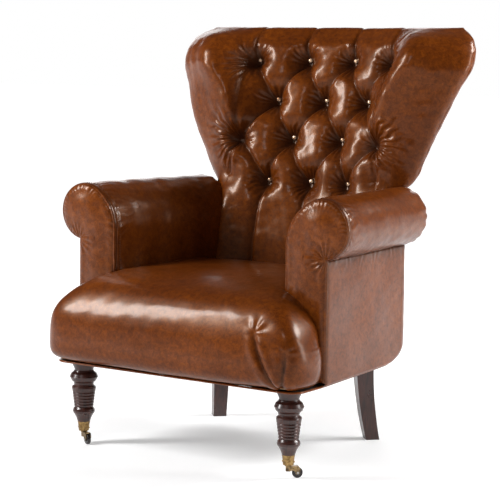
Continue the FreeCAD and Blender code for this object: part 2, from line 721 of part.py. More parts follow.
def caster_axle():
    half = WHEEL_W / 2 + 0.6 + 2.0
    pin = cylinder(1.5, V(TRAIL, -half - 0.2, WHEEL_R), V(0, 1, 0), 2 * half + 0.4)
    heads = [cylinder(2.6, V(TRAIL, y, WHEEL_R), V(0, 1, 0), 0.9) for y in (-half - 0.9, half)]
    return pin.multiFuse(heads)


def caster_wheel():
    half = WHEEL_W / 2
    profile = [(1.5 + SWIVEL_GAP, -half), (5.0, -half), (5.6, -half + 0.8), (9.4, -half + 0.8),
               (10.4, -half), (11.3, -half + 0.5), (12.1, -half + 1.6), (WHEEL_R, -1.4)]
    loop = profile + [(r, -y) for r, y in reversed(profile)]
    points = [V(TRAIL + r, y, WHEEL_R) for r, y in loop]
    wire = Part.makePolygon(points + [points[0]])
    return Part.Face(wire).revolve(V(TRAIL, 0, WHEEL_R), V(0, 1, 0), 360)


def cup_screws():
    """Two small round-headed screws through each cup."""
    screws = []
    for angle in (20.0, 200.0):
        screw = cylinder(1.1, V(9.0, 0, 38.5), V(1, 0, 0), 5.6)
        head = Part.makeSphere(2.3, V(13.0, 0, 38.5)).common(box(12.9, 16, -3, 3, 35, 42))
        screw = screw.fuse(head)
        screw.rotate(V(0, 0, 0), V(0, 0, 1), angle)
        screws.append(screw)
    return screws


def front_legs():
    leg, cup, screws = front_leg(), caster_cup(), cup_screws()
    leg, cup = cut_all(leg, screws), cut_all(cup, screws)
    at = {"right": V(LEG_X, 0, 0), "left": V(-LEG_X, 0, 0)}
    all_screws, bolts = [], []
    for side, where in at.items():
        for name, shape in (("front_leg", leg), ("caster_cup", cup)):
            shape = shape.copy()
            shape.translate(where)
            place(side + "_" + name, shape)
        for screw in screws:
            screw = screw.copy()
            screw.translate(where)
            all_screws.append(screw)
        for name, shape in (("caster_horn", caster_horn()), ("caster_axle", caster_axle()),
                            ("caster_wheel", caster_wheel())):
            shape.rotate(V(0, 0, 0), V(0, 0, 1), REST_TRAIL_DEG[side])
            shape.translate(where)
            place(side + "_" + name, shape)
        bolts.append(cylinder(4.0, where + V(0, 0, 150), V(0, 0, 1), 118))
    place("caster_screws", group(all_screws))
    return bolts


def rear_leg():
    """Sabre leg of square section, set at forty-five degrees, sweeping out towards the corner."""
    top, foot, sweep = 44.0, 34.0, 24.0
    wires = []
    for i in range(5):
        t = i / 4
        z = RAIL_BOTTOM * (1 - t)
        half = (top + (foot - top) * t) / 2 * math.sqrt(2)
        out = sweep * t * t
        c = V(217 + out * math.sqrt(0.5), 457 + out * math.sqrt(0.5), z)
        corners = [c + V(half, 0, 0), c + V(0, half, 0), c - V(half, 0, 0), c - V(0, half, 0)]
        wires.append(Part.makePolygon(corners + corners[:1]))
    leg = Part.makeLoft(wires, True, False)
    return leg.cut(cylinder(4.0, V(217, 457, 150), V(0, 0, 1), 80))


def rear_legs():
    leg = rear_leg()
    place("right_rear_leg", leg)
    place("left_rear_leg", mirrored(leg))
    return [leg, mirrored(leg)]


def leg_bolts(front_bolts):
    rear = cylinder(4.0, V(217, 457, 150), V(0, 0, 1), 118)
    place("leg_bolts", group(front_bolts + [rear, mirrored(rear)]))


# ---- underside ----------------------------------------------------------------------------------

def base_outline(inset, z):
    """Plan outline of the lower edge, seat front and rounded rear corners included."""
    front, front_r = -53 + inset, 32 - inset
    r = CORNER_R - inset
    rear = BACK_BASE_Y - inset
    side_front, side_rear = 356 - inset, SIDE_X - inset + arm_shift(rear - r)
    s = math.sin(math.pi / 4)
    right = [
        Part.makeLine(V(0, front, z), V(side_front - front_r, front, z)),
        Part.Arc(V(side_front - front_r, front, z),
                 V(side_front - front_r * (1 - s), front + front_r * (1 - s), z),
                 V(side_front, front + front_r, z)).toShape(),
        Part.makeLine(V(side_front, front + front_r, z), V(side_rear, rear - r, z)),
        Part.Arc(V(side_rear, rear - r, z), V(side_rear - r * (1 - s), rear - r * (1 - s), z),
                 V(side_rear - r, rear, z)).toShape(),
        Part.makeLine(V(side_rear - r, rear, z), V(0, rear, z)),
    ]
    left = [mirrored(edge) for edge in right]
    return Part.Wire(Part.__sortEdges__(right + left))


def underside(legs):
    z0, z1 = 203.0, 207.5
    band = Part.Face(base_outline(0, z0)).extrude(V(0, 0, z1 - z0))
    band = band.cut(Part.Face(base_outline(4, z0 - 1)).extrude(V(0, 0, z1 - z0 + 2)))
    place("bottom_welt", band)
    cloth = Part.Face(base_outline(6, RAIL_BOTTOM - 1.6)).extrude(V(0, 0, 1.5))
    openings = [cylinder(32.3, V(side * LEG_X, 0, 200), V(0, 0, 1), 20) for side in (-1, 1)]
    openings += [cylinder(4.2, V(side * 217, 457, 200), V(0, 0, 1), 20) for side in (-1, 1)]
    corners = [box(331, 400, -100, -17, 200, 220), box(-400, -331, -100, -17, 200, 220)]
    place("dust_cover", cut_all(cloth, legs + openings + corners))


# ---- build --------------------------------------------------------------------------------------

def write_all():
    os.makedirs("parts", exist_ok=True)
    for name, shape in MADE.items():
        if not shape.isValid():
            print("not valid:", name)
        shape.exportStep("parts/" + name + ".step")
    print(len(MADE), "nodes")


def main():
    seat_frame()
    arm_wood = arm_frame()
    back_rails()
    back_webbing()
    seat_springs()
    seat()
    arms(arm_wood)
    back_upholstery(arm_wood)
    legs = rear_legs()
    bolts = front_legs()
    leg_bolts(bolts)
    underside(legs)
    write_all()


main()
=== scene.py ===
import math

import bpy
import numpy as np
from mathutils import Matrix, Vector


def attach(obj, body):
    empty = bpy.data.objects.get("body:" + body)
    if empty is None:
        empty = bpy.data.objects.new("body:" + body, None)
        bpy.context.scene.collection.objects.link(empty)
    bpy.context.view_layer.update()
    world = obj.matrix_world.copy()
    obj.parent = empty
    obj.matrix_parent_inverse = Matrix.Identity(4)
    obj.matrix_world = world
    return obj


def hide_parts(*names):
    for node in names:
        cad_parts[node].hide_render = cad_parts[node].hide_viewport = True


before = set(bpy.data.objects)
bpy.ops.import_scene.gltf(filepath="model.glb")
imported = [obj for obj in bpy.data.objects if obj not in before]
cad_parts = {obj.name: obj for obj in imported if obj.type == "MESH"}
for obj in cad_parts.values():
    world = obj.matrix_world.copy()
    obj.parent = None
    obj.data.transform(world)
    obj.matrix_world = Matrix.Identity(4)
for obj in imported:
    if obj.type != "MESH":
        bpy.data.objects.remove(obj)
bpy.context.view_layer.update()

# Leather armchair. Shapes are worked out in millimetres with y = 0 on the front legs' axis, as the
# chair was drawn, and to_metres() puts them in the shared frame.

FRONT_LEG_Y = 309.0

# ---- sizes shared with the solids ---------------------------------------------------------------

# outside and inside back, down the middle: height and y
BACK_REAR = [(207, 512), (330, 516), (450, 532), (560, 560), (680, 598), (800, 642), (930, 690),
             (985, 706), (1005, 701), (1017, 694)]
BACK_FRONT = [(300, 440), (410, 457), (622, 508), (733, 541), (828, 573), (935, 606), (985, 634),
              (1005, 652), (1017, 664)]
# how far both come forward towards the sides, in mm for each square mm from the middle
BACK_HOLLOW, BACK_BOW = 0.0010, 0.0003
BACK_FOOT, CREST_START, CREST = 398.0, 985.0, 1017.0
# height, outer half width, tip y, tip radius, ridge x, ridge y
# the lowest rows tuck in behind the arms
WING = np.array([
    (395, 220, 462, 8, 205, 412), (430, 222, 470, 10, 206, 422),
    (560, 236, 500, 14, 207, 450), (605, 264, 522, 22, 210, 474),
    (635, 296, 540, 30, 212, 491), (700, 330, 546, 36, 211, 487), (780, 367, 552, 42, 216, 485),
    (860, 402, 570, 45, 244, 484), (933, 430, 594, 46, 284, 486), (975, 424, 610, 40, 292, 512),
    (1003, 402, 628, 28, 292, 556), (1017, 376, 645, 24, 270, 612)], float)
# height of a row of buttons, y at its middle, distances of its buttons from the middle
BUTTON_ROWS = [(935, 643, (69, 204)), (833, 612, (0, 137)),
               (736, 578, (73, 204)), (628, 543, (0, 119))]
BUTTON_HOLLOW = 0.00095
OUTER_BUTTON_X = 190.0
# outside of the arms, where their taper starts, where the arm leather starts and ends, the taper
SIDE_X, ARM_FRONT, ARM_START, ARM_REAR, ARM_TAPER = 360.0, 48.0, 64.0, 528.0, 0.1
# the scroll of the arm, and the upright inside face with the bend that leads to the scroll
ROLL_X, ROLL_Z, ROLL_R = 345.0, 562.0, 70.5
INNER_X, INNER_BEND_Z, INNER_BEND_R = 248.0, 520.0, 117.0
# rear corner of the side panels
CORNER_R, BACK_BASE_Y = 53.0, 512.0
# the side panel's foot and top, the welt's middle and radius, the under cloth
PANEL_FOOT, PANEL_TOP = 206.5, ROLL_Z - ROLL_R + 1.5
WELT_Z, WELT_R, UNDER_CLOTH_Z = 205.4, 2.6, 207.6
STITCH_Y, STITCH_PITCH, STITCH_LENGTH, STITCH_R = 70.5, 6.4, 4.2, 0.55
SIDES = {1: "right", -1: "left"}


# ---- meshes -------------------------------------------------------------------------------------

def to_metres(points):
    """From drawn millimetres to the shared frame in metres."""
    points = np.array(points, float)
    points[..., 1] -= FRONT_LEG_Y
    return points / 1000.0


def mesh_from(name, points, faces, attributes=None):
    """A smooth-shaded piece of quads, with values kept on its points."""
    mesh = bpy.data.meshes.new(name)
    faces = np.asarray(faces, np.int32)
    mesh.vertices.add(len(points))
    mesh.vertices.foreach_set("co", to_metres(points).astype(np.float32).ravel())
    mesh.loops.add(faces.size)
    mesh.loops.foreach_set("vertex_index", faces.ravel())
    mesh.polygons.add(len(faces))
    mesh.polygons.foreach_set("loop_start", np.arange(0, faces.size, 4, dtype=np.int32))
    mesh.polygons.foreach_set("use_smooth", np.ones(len(faces), bool))
    mesh.update(calc_edges=True)
    mesh.validate()
    for key, values in (attributes or {}).items():
        layer = mesh.attributes.new(key, "FLOAT", "POINT")
        layer.data.foreach_set("value", np.asarray(values, np.float32).ravel())
    piece = bpy.data.objects.new(name, mesh)
    bpy.context.scene.collection.objects.link(piece)
    return piece


def grid_faces(rows, columns, wrap=False, flip=False):
    """Quads between the points of a grid; wrap joins its last column to the first."""
    across = columns if wrap else columns - 1
    i, j = np.meshgrid(np.arange(rows - 1), np.arange(across), indexing="ij")
    here, above, k = i * columns, (i + 1) * columns, (j + 1) % columns
    quads = np.stack([here + j, here + k, above + k, above + j], -1).reshape(-1, 4)
    return quads[:, ::-1] if flip else quads


def grid_normals(grid):
    """Unit normals of a grid of points."""
    du = np.gradient(grid, axis=1)
    dv = np.gradient(grid, axis=0)
    n = np.cross(du, dv)
    return n / np.maximum(np.linalg.norm(n, axis=-1, keepdims=True), 1e-9)


def grid_piece(name, grid, painted_shade=None, wrap=False, flip=False):
    """A piece from a grid of points; the optional shade values, from 0 to 1, darken the leather as
    painted shade.
    """
    attributes = None if painted_shade is None else {"painted_shade": np.clip(painted_shade, 0, 1)}
    return mesh_from(name, grid.reshape(-1, 3), grid_faces(*grid.shape[:2], wrap, flip), attributes)


def polar(dx, dz):
    """Distance and direction from a middle."""
    return np.hypot(dx, dz), np.arctan2(dz, dx)


def path_lengths(line):
    """How far along a line each of its points lies."""
    return np.concatenate([[0], np.cumsum(np.linalg.norm(np.diff(line, axis=0), axis=1))])


def plan_normals(tangent):
    """Unit normals to the right of a plan line's tangents."""
    normal = np.stack([tangent[:, 1], -tangent[:, 0]], 1)
    return normal / np.linalg.norm(normal, axis=1, keepdims=True)


def smoothstep(a, b, x):
    """0 up to a, 1 from b on, and an even rise between them."""
    t = np.clip((x - a) / (b - a), 0, 1)
    return t * t * (3 - 2 * t)


def table(rows, x):
    """Smooth reading of a table of (place, value) pairs."""
    rows = np.asarray(rows, float)
    xs, ys = rows[:, 0], rows[:, 1]
    slopes = np.gradient(ys, xs)
    k = np.clip(np.searchsorted(xs, x) - 1, 0, len(xs) - 2)
    h = xs[k + 1] - xs[k]
    t = np.clip((x - xs[k]) / h, 0, 1)
    return ((2 * t**3 - 3 * t**2 + 1) * ys[k] + (t**3 - 2 * t**2 + t) * h * slopes[k]
            + (-2 * t**3 + 3 * t**2) * ys[k + 1] + (t**3 - t**2) * h * slopes[k + 1])


def spline_rows(controls, count):
    """Catmull-Rom through control points (rows, controls, 3), count samples a row."""
    n = controls.shape[1]
    t = np.linspace(0, n - 1, count)
    k = np.clip(t.astype(int), 0, n - 2)
    f = (t - k)[None, :, None]
    p0 = controls[:, np.maximum(k - 1, 0)]
    p1, p2 = controls[:, k], controls[:, k + 1]
    p3 = controls[:, np.minimum(k + 2, n - 1)]
    return 0.5 * (2 * p1 + (p2 - p0) * f + (2 * p0 - 5 * p1 + 4 * p2 - p3) * f**2
                  + (3 * p1 - p0 - 3 * p2 + p3) * f**3)


def soft_noise(points, scale, seed, waves=14):
    """Smooth random undulation between about -1 and 1, from waves in random directions."""
    rng = np.random.default_rng(seed)
    total = np.zeros(points.shape[:-1])
    for _ in range(waves):
        direction = rng.normal(size=3)
        direction /= np.linalg.norm(direction)
        k = 2 * math.pi / scale * rng.uniform(0.6, 1.5)
        total += np.sin(points @ direction * k + rng.uniform(0, 6.28))
    return total / math.sqrt(waves)


def segment_distance(points, a, b):
    """Distance to a segment and how far along it, from 0 to 1."""
    a, b = np.asarray(a, float), np.asarray(b, float)
    ab = b - a
    t = np.clip(((points - a) @ ab) / (ab @ ab), 0, 1)
    return np.linalg.norm(points - a - t[..., None] * ab, axis=-1), t


def arm_shift(y):
    """How far the arms have closed in at y."""
    return -ARM_TAPER * (y - ARM_FRONT)


# ---- the buttoned back --------------------------------------------------------------------------

def back_front_y(x, z):
    """Face of the inside back, before its buttoning."""
    return table(BACK_FRONT, z) - BACK_HOLLOW * x * x


def back_rear_y(x, z):
    """Face of the outside back: flat below, bowed from the arms up."""
    bow = BACK_BOW * smoothstep(625, 700, z)
    return table(BACK_REAR, z) - bow * x * x


def wing_row(z):
    """The columns of WING read at heights z."""
    return [table(WING[:, (0, c)], z) for c in range(1, 6)]


def wing_rear(outer, tip_y, tip_r, z):
    """Rear corner of a wing: its x and y."""
    return outer - 0.45 * tip_r, np.minimum(tip_y + 0.8 * tip_r, back_rear_y(outer, z))


def fan_half(z):
    """Right half of the plan line at heights z: middle, hollow, ridge, wing, tip, rear corner."""
    outer, tip_y, tip_r, ridge_x, ridge_y = wing_row(z)
    end_x = np.minimum(0.74 * ridge_x, 190.0)
    mid_x = 0.5 * end_x
    front_x, front_y = outer - 0.3 * tip_r, tip_y - 0.75 * tip_r
    rear_x, rear_y = wing_rear(outer, tip_y, tip_r, z)
    xs = [0 * z, mid_x, end_x, ridge_x, (ridge_x + front_x) / 2 + 6, front_x, outer, rear_x]
    ys = [back_front_y(0 * z, z), back_front_y(mid_x, z), back_front_y(end_x, z), ridge_y,
          (ridge_y + front_y) / 2 - 7, front_y, tip_y, rear_y]
    return np.stack([np.stack(xs, 1), np.stack(ys, 1), np.repeat(z[:, None], 8, 1)], -1)


def buttons():
    """Middles of the fourteen buttons."""
    found = []
    for z, y, xs in BUTTON_ROWS:
        for x in xs:
            for side in ((1,) if x == 0 else (-1, 1)):
                found.append((side * x, y - BUTTON_HOLLOW * x * x, z))
    return found


def folds():
    """Pleats as pairs of front-view points with their depths at both ends and their breadth."""
    rows = {z: sorted({s * x for x in xs for s in (-1, 1)}) for z, _, xs in BUTTON_ROWS}
    heights = [z for z, _, _ in BUTTON_ROWS]
    found = []
    for upper, lower in zip(heights, heights[1:]):
        for x in rows[upper]:
            for other in rows[lower]:
                if abs(x - other) < 100:
                    found.append(((x, upper), (other, lower), 15.0, 15.0, 8.0))
    for x in rows[heights[0]]:
        found.append(((x, heights[0]), (x * 1.02, 1030), 16.0, 7.0, 7.0))
    for x in rows[heights[-1]]:
        found.append(((x, heights[-1]), (x * 1.01 - 2, 425), 18.0, 12.0, 8.0))
    for side in (-1, 1):
        found.append(((side * 204, 736), (side * 222, 640), 12.0, 5.0, 7.0))
        found.append(((side * 204, 935), (side * 262, 1010), 8.0, 2.0, 7.0))
        found.append(((side * 204, 736), (side * 216, 905), 9.0, 6.0, 9.0))
    return found


def crest_cap(edge_row):
    """Rows over the top, from the front line back to the outside back, slightly domed."""
    outer, tip_y, tip_r = [float(v) for v in wing_row(np.array(CREST))[:3]]
    half, _ = wing_rear(outer, tip_y, tip_r, CREST)
    rear_x = np.clip(edge_row[:, 0], -half, half)
    rear_y = np.maximum(back_rear_y(rear_x, CREST) - 2.0, edge_row[:, 1])
    rear_row = np.stack([rear_x, rear_y, np.full(len(edge_row), CREST - 3.0)], -1)
    rows, dome = [], 4.5
    for t in np.linspace(0.12, 1, 9):
        row = edge_row * (1 - t) + rear_row * t
        row[:, 2] += dome * math.sin(math.pi * t)
        rows.append(row)
    return np.array(rows)


def button_dish(grid):
    """How deep the buttons pull each point in."""
    dish, sink, flat, reach = np.zeros(grid.shape[:2]), 3.5, 6.0, 66.0
    for x, y, z in buttons():
        r = np.hypot(grid[..., 0] - x, (grid[..., 2] - z) * 1.04)
        depth = y + sink - float(back_front_y(x, float(z)))
        fall = np.clip(1 - np.maximum(r - flat, 0) / reach, 0, 1) ** 2.6
        dish = np.maximum(dish, depth * fall)
    return dish


def pleat_depth(grid):
    """How deep each point lies in a pleat: steep on one side of the fold, rolling on the other."""
    xz, groove = grid[..., [0, 2]], np.zeros(grid.shape[:2])
    for start, end, start_depth, end_depth, breadth in folds():
        (x0, z0), (x1, z1) = start, end
        bend = 5.0 * math.sin(x0 * 0.7 + z1 * 0.31)
        along = np.clip(((xz - start) @ np.array([x1 - x0, z1 - z0]))
                        / ((x1 - x0) ** 2 + (z1 - z0) ** 2), 0, 1)
        side = np.array([-(z1 - z0), x1 - x0]) / math.hypot(x1 - x0, z1 - z0)
        shifted = xz - side * (bend * np.sin(math.pi * along))[..., None]
        d, t = segment_distance(shifted, start, end)
        lip = np.where((shifted - start) @ side > 0, breadth * 0.62, breadth * 1.7)
        depth = (start_depth + (end_depth - start_depth) * t) * (1 - 0.30 * np.sin(math.pi * t))
        groove = np.maximum(groove, depth * np.exp(-(d / lip) ** 1.15))
    return groove


def button_rays(grid):
    """Fine creases radiating from the buttons, longer where they run out over the wings."""
    rays = np.zeros(grid.shape[:2])
    for n, (x, _, z) in enumerate(buttons()):
        r, angle = polar(grid[..., 0] - x, grid[..., 2] - z)
        wander = soft_noise(grid, 38, 40 + n, 6)
        wave = np.sin(angle * (15 + n % 4) + 1.3 * n + 1.1 * wander + r * 0.012)
        wave = np.sign(wave) * np.abs(wave) ** 0.8
        sector = 0.45 + 0.55 * np.sin(angle * 2 + n * 1.7) ** 2
        rays += 1.5 * wave * sector * smoothstep(6, 15, r) * (1 - smoothstep(26, 56, r))
        if abs(x) > OUTER_BUTTON_X:
            reach = 1 - smoothstep(40, 118 if z < 800 else 70, r)
            toward = smoothstep(-0.2, 0.55, np.sign(x) * np.cos(angle))
            longer = np.sin(angle * 21 + 0.8 * wander + n)
            rays += 2.1 * longer * toward * reach * smoothstep(8, 22, r)
    return rays


def back_leather():
    """The inside back: fourteen buttons with their pleats, both wings and the crest."""
    columns = 561
    heights = np.concatenate([np.linspace(BACK_FOOT, CREST_START, 276),
                              np.linspace(CREST_START + 2, CREST, 16)])
    half = fan_half(heights)
    left = half[:, :0:-1] * np.array([-1, 1, 1])
    front = spline_rows(np.concatenate([left, half], 1), columns)
    grid = np.concatenate([front, crest_cap(front[-1])], 0)
    from_middle, z = np.abs(grid[..., 0]), grid[..., 2]
    dish, groove = button_dish(grid), pleat_depth(grid)
    deep = dish + groove * np.clip(1 - dish / 42.0, 0.1, 1)
    puff = 5.0 * np.exp(-(groove / 6.0)) * smoothstep(610, 660, z)
    puff *= (1 - smoothstep(215, 260, from_middle)) * (1 - smoothstep(965, 1005, z))
    pull = np.clip(deep - button_rays(grid) - puff, -7, 60)
    pull += 1.1 * soft_noise(grid, 120, 5) + 0.35 * soft_noise(grid, 36, 6)
    # pulled straight in on the wings, along the buttons in the middle, and down over the crest
    normal = grid_normals(grid)
    way = np.where(normal[..., 1:2] > 0, normal, -normal)
    middle = (1 - smoothstep(205, 300, from_middle))[..., None]
    way = way * (1 - middle) + np.array([0.0, 0.955, -0.296]) * middle
    top = smoothstep(CREST_START, 1012, z)[..., None]
    way = way * (1 - top) + np.array([0.0, 0.5, -0.86]) * top
    edge = np.minimum(np.arange(columns), np.arange(columns)[::-1])
    keep = (1 - 0.55 * smoothstep(CREST_START, 1014, z)) * smoothstep(0, 26, edge)[None, :]
    grid = grid + way * (pull * keep)[..., None]
    # a small dimple near the tip of the right wing
    from_dimple = np.linalg.norm(grid - np.array([404.0, 560.0, 948.0]), axis=-1)
    grid[..., 1] += 3.0 * np.exp(-(from_dimple / 7.0) ** 2)
    # painted shade: darker the deeper the button wells and pleats are pulled in
    dark = np.clip(deep / 34.0, 0, 1) * 0.75 + np.clip(groove / 12.0, 0, 1) * 0.35
    return grid_piece("back_leather", grid, dark)


def outside_back():
    """The plain panel behind, with a return each side that closes the gap behind the arm."""
    foot, across, returned = 207.5, 121, 14
    heights = np.linspace(foot, CREST - 1, 150)
    outer, tip_y, tip_r = wing_row(np.maximum(heights, 636))[:3]
    wide, edge_y = wing_rear(outer, tip_y, tip_r, heights)
    edge_y = edge_y + 1.0
    above_arms = smoothstep(628, 652, heights)
    low_half = [(207, 264), (330, 262), (450, 260), (560, 258), (640, 262)]
    half = table(low_half, np.minimum(heights, 640))
    half = half * (1 - above_arms) + wide * above_arms
    s = np.linspace(-1, 1, across)
    back = np.linspace(1, 0.04, returned)
    rows = []
    for z, h, y1, above in zip(heights, half, edge_y, above_arms):
        x = h * s
        y = back_rear_y(x, z)
        side_run = 78.0 * (1 - smoothstep(622, 662, z)) * smoothstep(212, 330, z)
        turn = smoothstep(0.80, 1.0, np.abs(s))
        y = y + (y1 - back_rear_y(h, z)) * turn * above - 5.0 * smoothstep(0.975, 1.0, np.abs(s))
        y = y + 1.4 * np.cos(math.pi * s / 2) * math.sin(math.pi * min(max((z - 230) / 760, 0), 1))
        y = y - 6.0 * (max(216 - z, 0) / 8.5) ** 2 - 7.0 * (max(z - 1004, 0) / 12.0) ** 2
        left = np.stack([np.full(returned, x[0] - 0.6), y[0] - side_run * back], 1)
        right = np.stack([np.full(returned, x[-1] + 0.6), y[-1] - side_run * back[::-1]], 1)
        plan = np.concatenate([left, np.stack([x, y], 1), right])
        rows.append(np.concatenate([plan, np.full((len(plan), 1), z)], 1))
    grid = np.array(rows)
    grid[..., 1] += 0.8 * soft_noise(grid, 150, 21) + 0.25 * soft_noise(grid, 40, 22)
    # painted shade on the far ends of the returns, which run into the gaps behind the arms
    edge = smoothstep(0.93, 1.0, np.abs(np.linspace(-1, 1, grid.shape[1])))
    return grid_piece("outside_back_leather", grid, np.tile(edge * 0.5, (len(grid), 1)), flip=True)


# ---- the seat -----------------------------------------------------------------------------------

# side profile of the seat, above and below: y and height; its front view: half width and height
SEAT_TOP = [(-88, 262), (-86, 290), (-83, 315), (-75, 342), (-60, 368), (-42, 389), (-20, 405),
            (15, 419), (60, 428), (130, 435), (200, 438), (340, 434), (450, 421), (486, 417)]
SEAT_LOW = [(-88, 262), (-86.5, 245), (-80, 228), (-68, 215), (-53, 208.5), (-30, 208), (480, 208)]
SEAT_FRONT = [(0, 441.5), (90, 441.2), (150, 439.5), (200, 435.5), (241, 427), (266, 415.5), (290, 400),
              (310, 385.5), (326, 370), (340, 355), (352, 337), (361, 317), (366, 299), (370, 278),
              (371, 262), (371.4, 200)]
SEAT_FOOT = [(205, 352), (212, 360), (222, 366), (236, 370), (260, 372)]
SEAT_FRONT_Y, SEAT_REAR_Y, SEAT_HALF, SEAT_CORNER_R = -88.0, 484.0, 371.0, 60.0
# half width of the seat where it enters between the arms, and the y where it does
SEAT_NECK, SEAT_NECK_Y = 338.0, 47.0
SEAT_MIDDLE = np.array([0.0, 150.0, 330.0])
# seams of the two darts at the right front corner, and the gathers at their upper ends, in front view
DARTS = [
    [(252, 336), (264, 300), (284, 262), (310, 212)],
    [(338, 296), (336, 268), (329, 236), (320, 212)],
]
GATHERS = ((256, 336, 50, 1.1), (338, 298, 30, 0.9))


def seat_inside(p):
    """Whether points lie in the seat's outer shape."""
    x, y, z = np.abs(p[..., 0]), p[..., 1], p[..., 2]
    top, low, front, foot = (np.array(rows) for rows in (SEAT_TOP, SEAT_LOW, SEAT_FRONT, SEAT_FOOT))
    reach = np.clip(SEAT_FRONT_Y + SEAT_CORNER_R - y, 0, SEAT_CORNER_R)
    side = SEAT_HALF - SEAT_CORNER_R + np.sqrt(np.maximum(SEAT_CORNER_R**2 - reach**2, 0))
    side = np.where(y > SEAT_NECK_Y, SEAT_NECK + arm_shift(y), side)
    ok = (y > SEAT_FRONT_Y) & (y < SEAT_REAR_Y) & (z < np.interp(y, top[:, 0], top[:, 1]))
    ok &= z > np.interp(y, low[:, 0], low[:, 1])
    ok &= z < np.interp(x, front[:, 0], front[:, 1])
    return ok & (x < side) & (x < np.interp(z, foot[:, 0], foot[:, 1]))


def seat_grid():
    """The seat's skin, met by rays from its middle, then smoothed where its faces meet."""
    across, cap_rows, side_rows = 960, 70, 230
    farthest, halvings, smoothings = 620.0, 26, 150
    warp = np.linspace(0, 2 * math.pi, across, endpoint=False)
    phi = warp + 0.20 * np.sin(2 * warp)
    theta = np.concatenate([np.linspace(0.01, 1.1, cap_rows, endpoint=False),
                            np.linspace(1.1, 2.3, side_rows)])
    t, f = np.meshgrid(theta, phi, indexing="ij")
    rays = np.stack([np.sin(t) * np.cos(f), np.sin(t) * np.sin(f), np.cos(t)], -1)
    low, high = np.zeros(t.shape), np.full(t.shape, farthest)
    for _ in range(halvings):
        mid = (low + high) / 2
        inside = seat_inside(SEAT_MIDDLE + rays * mid[..., None])
        low, high = np.where(inside, mid, low), np.where(inside, high, mid)
    grid = SEAT_MIDDLE + rays * low[..., None]
    for _ in range(smoothings):
        around = (np.roll(grid, 1, 1) + np.roll(grid, -1, 1)) / 2
        smooth = grid.copy()
        smooth[1:-1] = 0.5 * grid[1:-1] + 0.25 * around[1:-1] + 0.125 * (grid[:-2] + grid[2:])
        grid = smooth
    return grid


def seat_leather():
    """The tight seat: crowned on top, rolled in front, darted at the right front corner."""
    grid = seat_grid()
    normal = -grid_normals(grid)
    outward = np.sum(normal * (grid - SEAT_MIDDLE), -1, keepdims=True)
    normal = np.where(outward < 0, -normal, normal)
    lift = 0.8 * soft_noise(grid, 190, 11) + 0.2 * soft_noise(grid, 60, 12)
    lift += 2.0 * np.exp(-((grid[..., 0] / 190) ** 2 + ((grid[..., 1] - 210) / 170) ** 2))
    dark = np.zeros(grid.shape[:2])
    in_front = grid[..., 1] < 30
    front_view = grid[..., [0, 2]]
    x, z = front_view[..., 0], front_view[..., 1]
    for line in DARTS:
        close = np.min([segment_distance(front_view, a, b)[0] for a, b in zip(line, line[1:])], 0)
        groove = np.exp(-(close / 3.2) ** 1.2) * in_front
        fade = 1 - smoothstep(line[0][1] - 26, line[0][1] + 4, z)
        lift -= 7.5 * groove * np.maximum(fade, 0.3)
        lift += 2.6 * np.exp(-((close - 15) / 10) ** 2) * in_front * np.maximum(fade, 0.25)
        # painted shade along each dart's groove, weaker at its upper end
        dark = np.maximum(dark, groove * np.maximum(fade, 0.3))
    for at_x, at_z, reach, tall in GATHERS:
        r, angle = polar(x - at_x, z - at_z)
        above = smoothstep(-0.1, 0.5, np.sin(angle + 0.3))
        lift += tall * np.sin(angle * 6 + 0.8 + 0.03 * r) * above * in_front \
            * smoothstep(3, 12, r) * (1 - smoothstep(reach * 0.4, reach, r))
    # the pull of the leather into the joints beside the arms
    beside = np.exp(-np.abs(grid[..., 1] - 52) / 26) * smoothstep(225, 262, np.abs(x))
    lift -= 3.0 * beside * (z > 300)
    rays_in = np.sin(np.arctan2(z - 300, grid[..., 1] - 60) * 26 + soft_noise(grid, 40, 17))
    lift += 0.7 * rays_in * beside
    return grid_piece("seat_leather", grid + normal * lift[..., None], dark * 1.1, wrap=True)


# ---- the arms -----------------------------------------------------------------------------------

def scroll_outline(foot, count_in=70, count_bend=60, count_roll=130):
    """Outline of an arm's front: up the inside, over the bend, round the scroll to its underside."""
    bend_x = INNER_X + INNER_BEND_R
    to_roll = np.array([ROLL_X - bend_x, ROLL_Z - INNER_BEND_Z])
    join_angle = math.atan2(to_roll[1], to_roll[0])
    under_angle = -math.acos((SIDE_X - ROLL_X) / ROLL_R)
    up = np.stack([np.full(count_in, INNER_X), np.linspace(foot, INNER_BEND_Z, count_in)], 1)
    angles = np.linspace(math.pi, join_angle, count_bend)[1:]
    bend = np.stack([bend_x + INNER_BEND_R * np.cos(angles),
                     INNER_BEND_Z + INNER_BEND_R * np.sin(angles)], 1)
    angles = np.linspace(join_angle, under_angle, count_roll)[1:]
    roll = np.stack([ROLL_X + ROLL_R * np.cos(angles), ROLL_Z + ROLL_R * np.sin(angles)], 1)
    return np.concatenate([up, bend, roll])


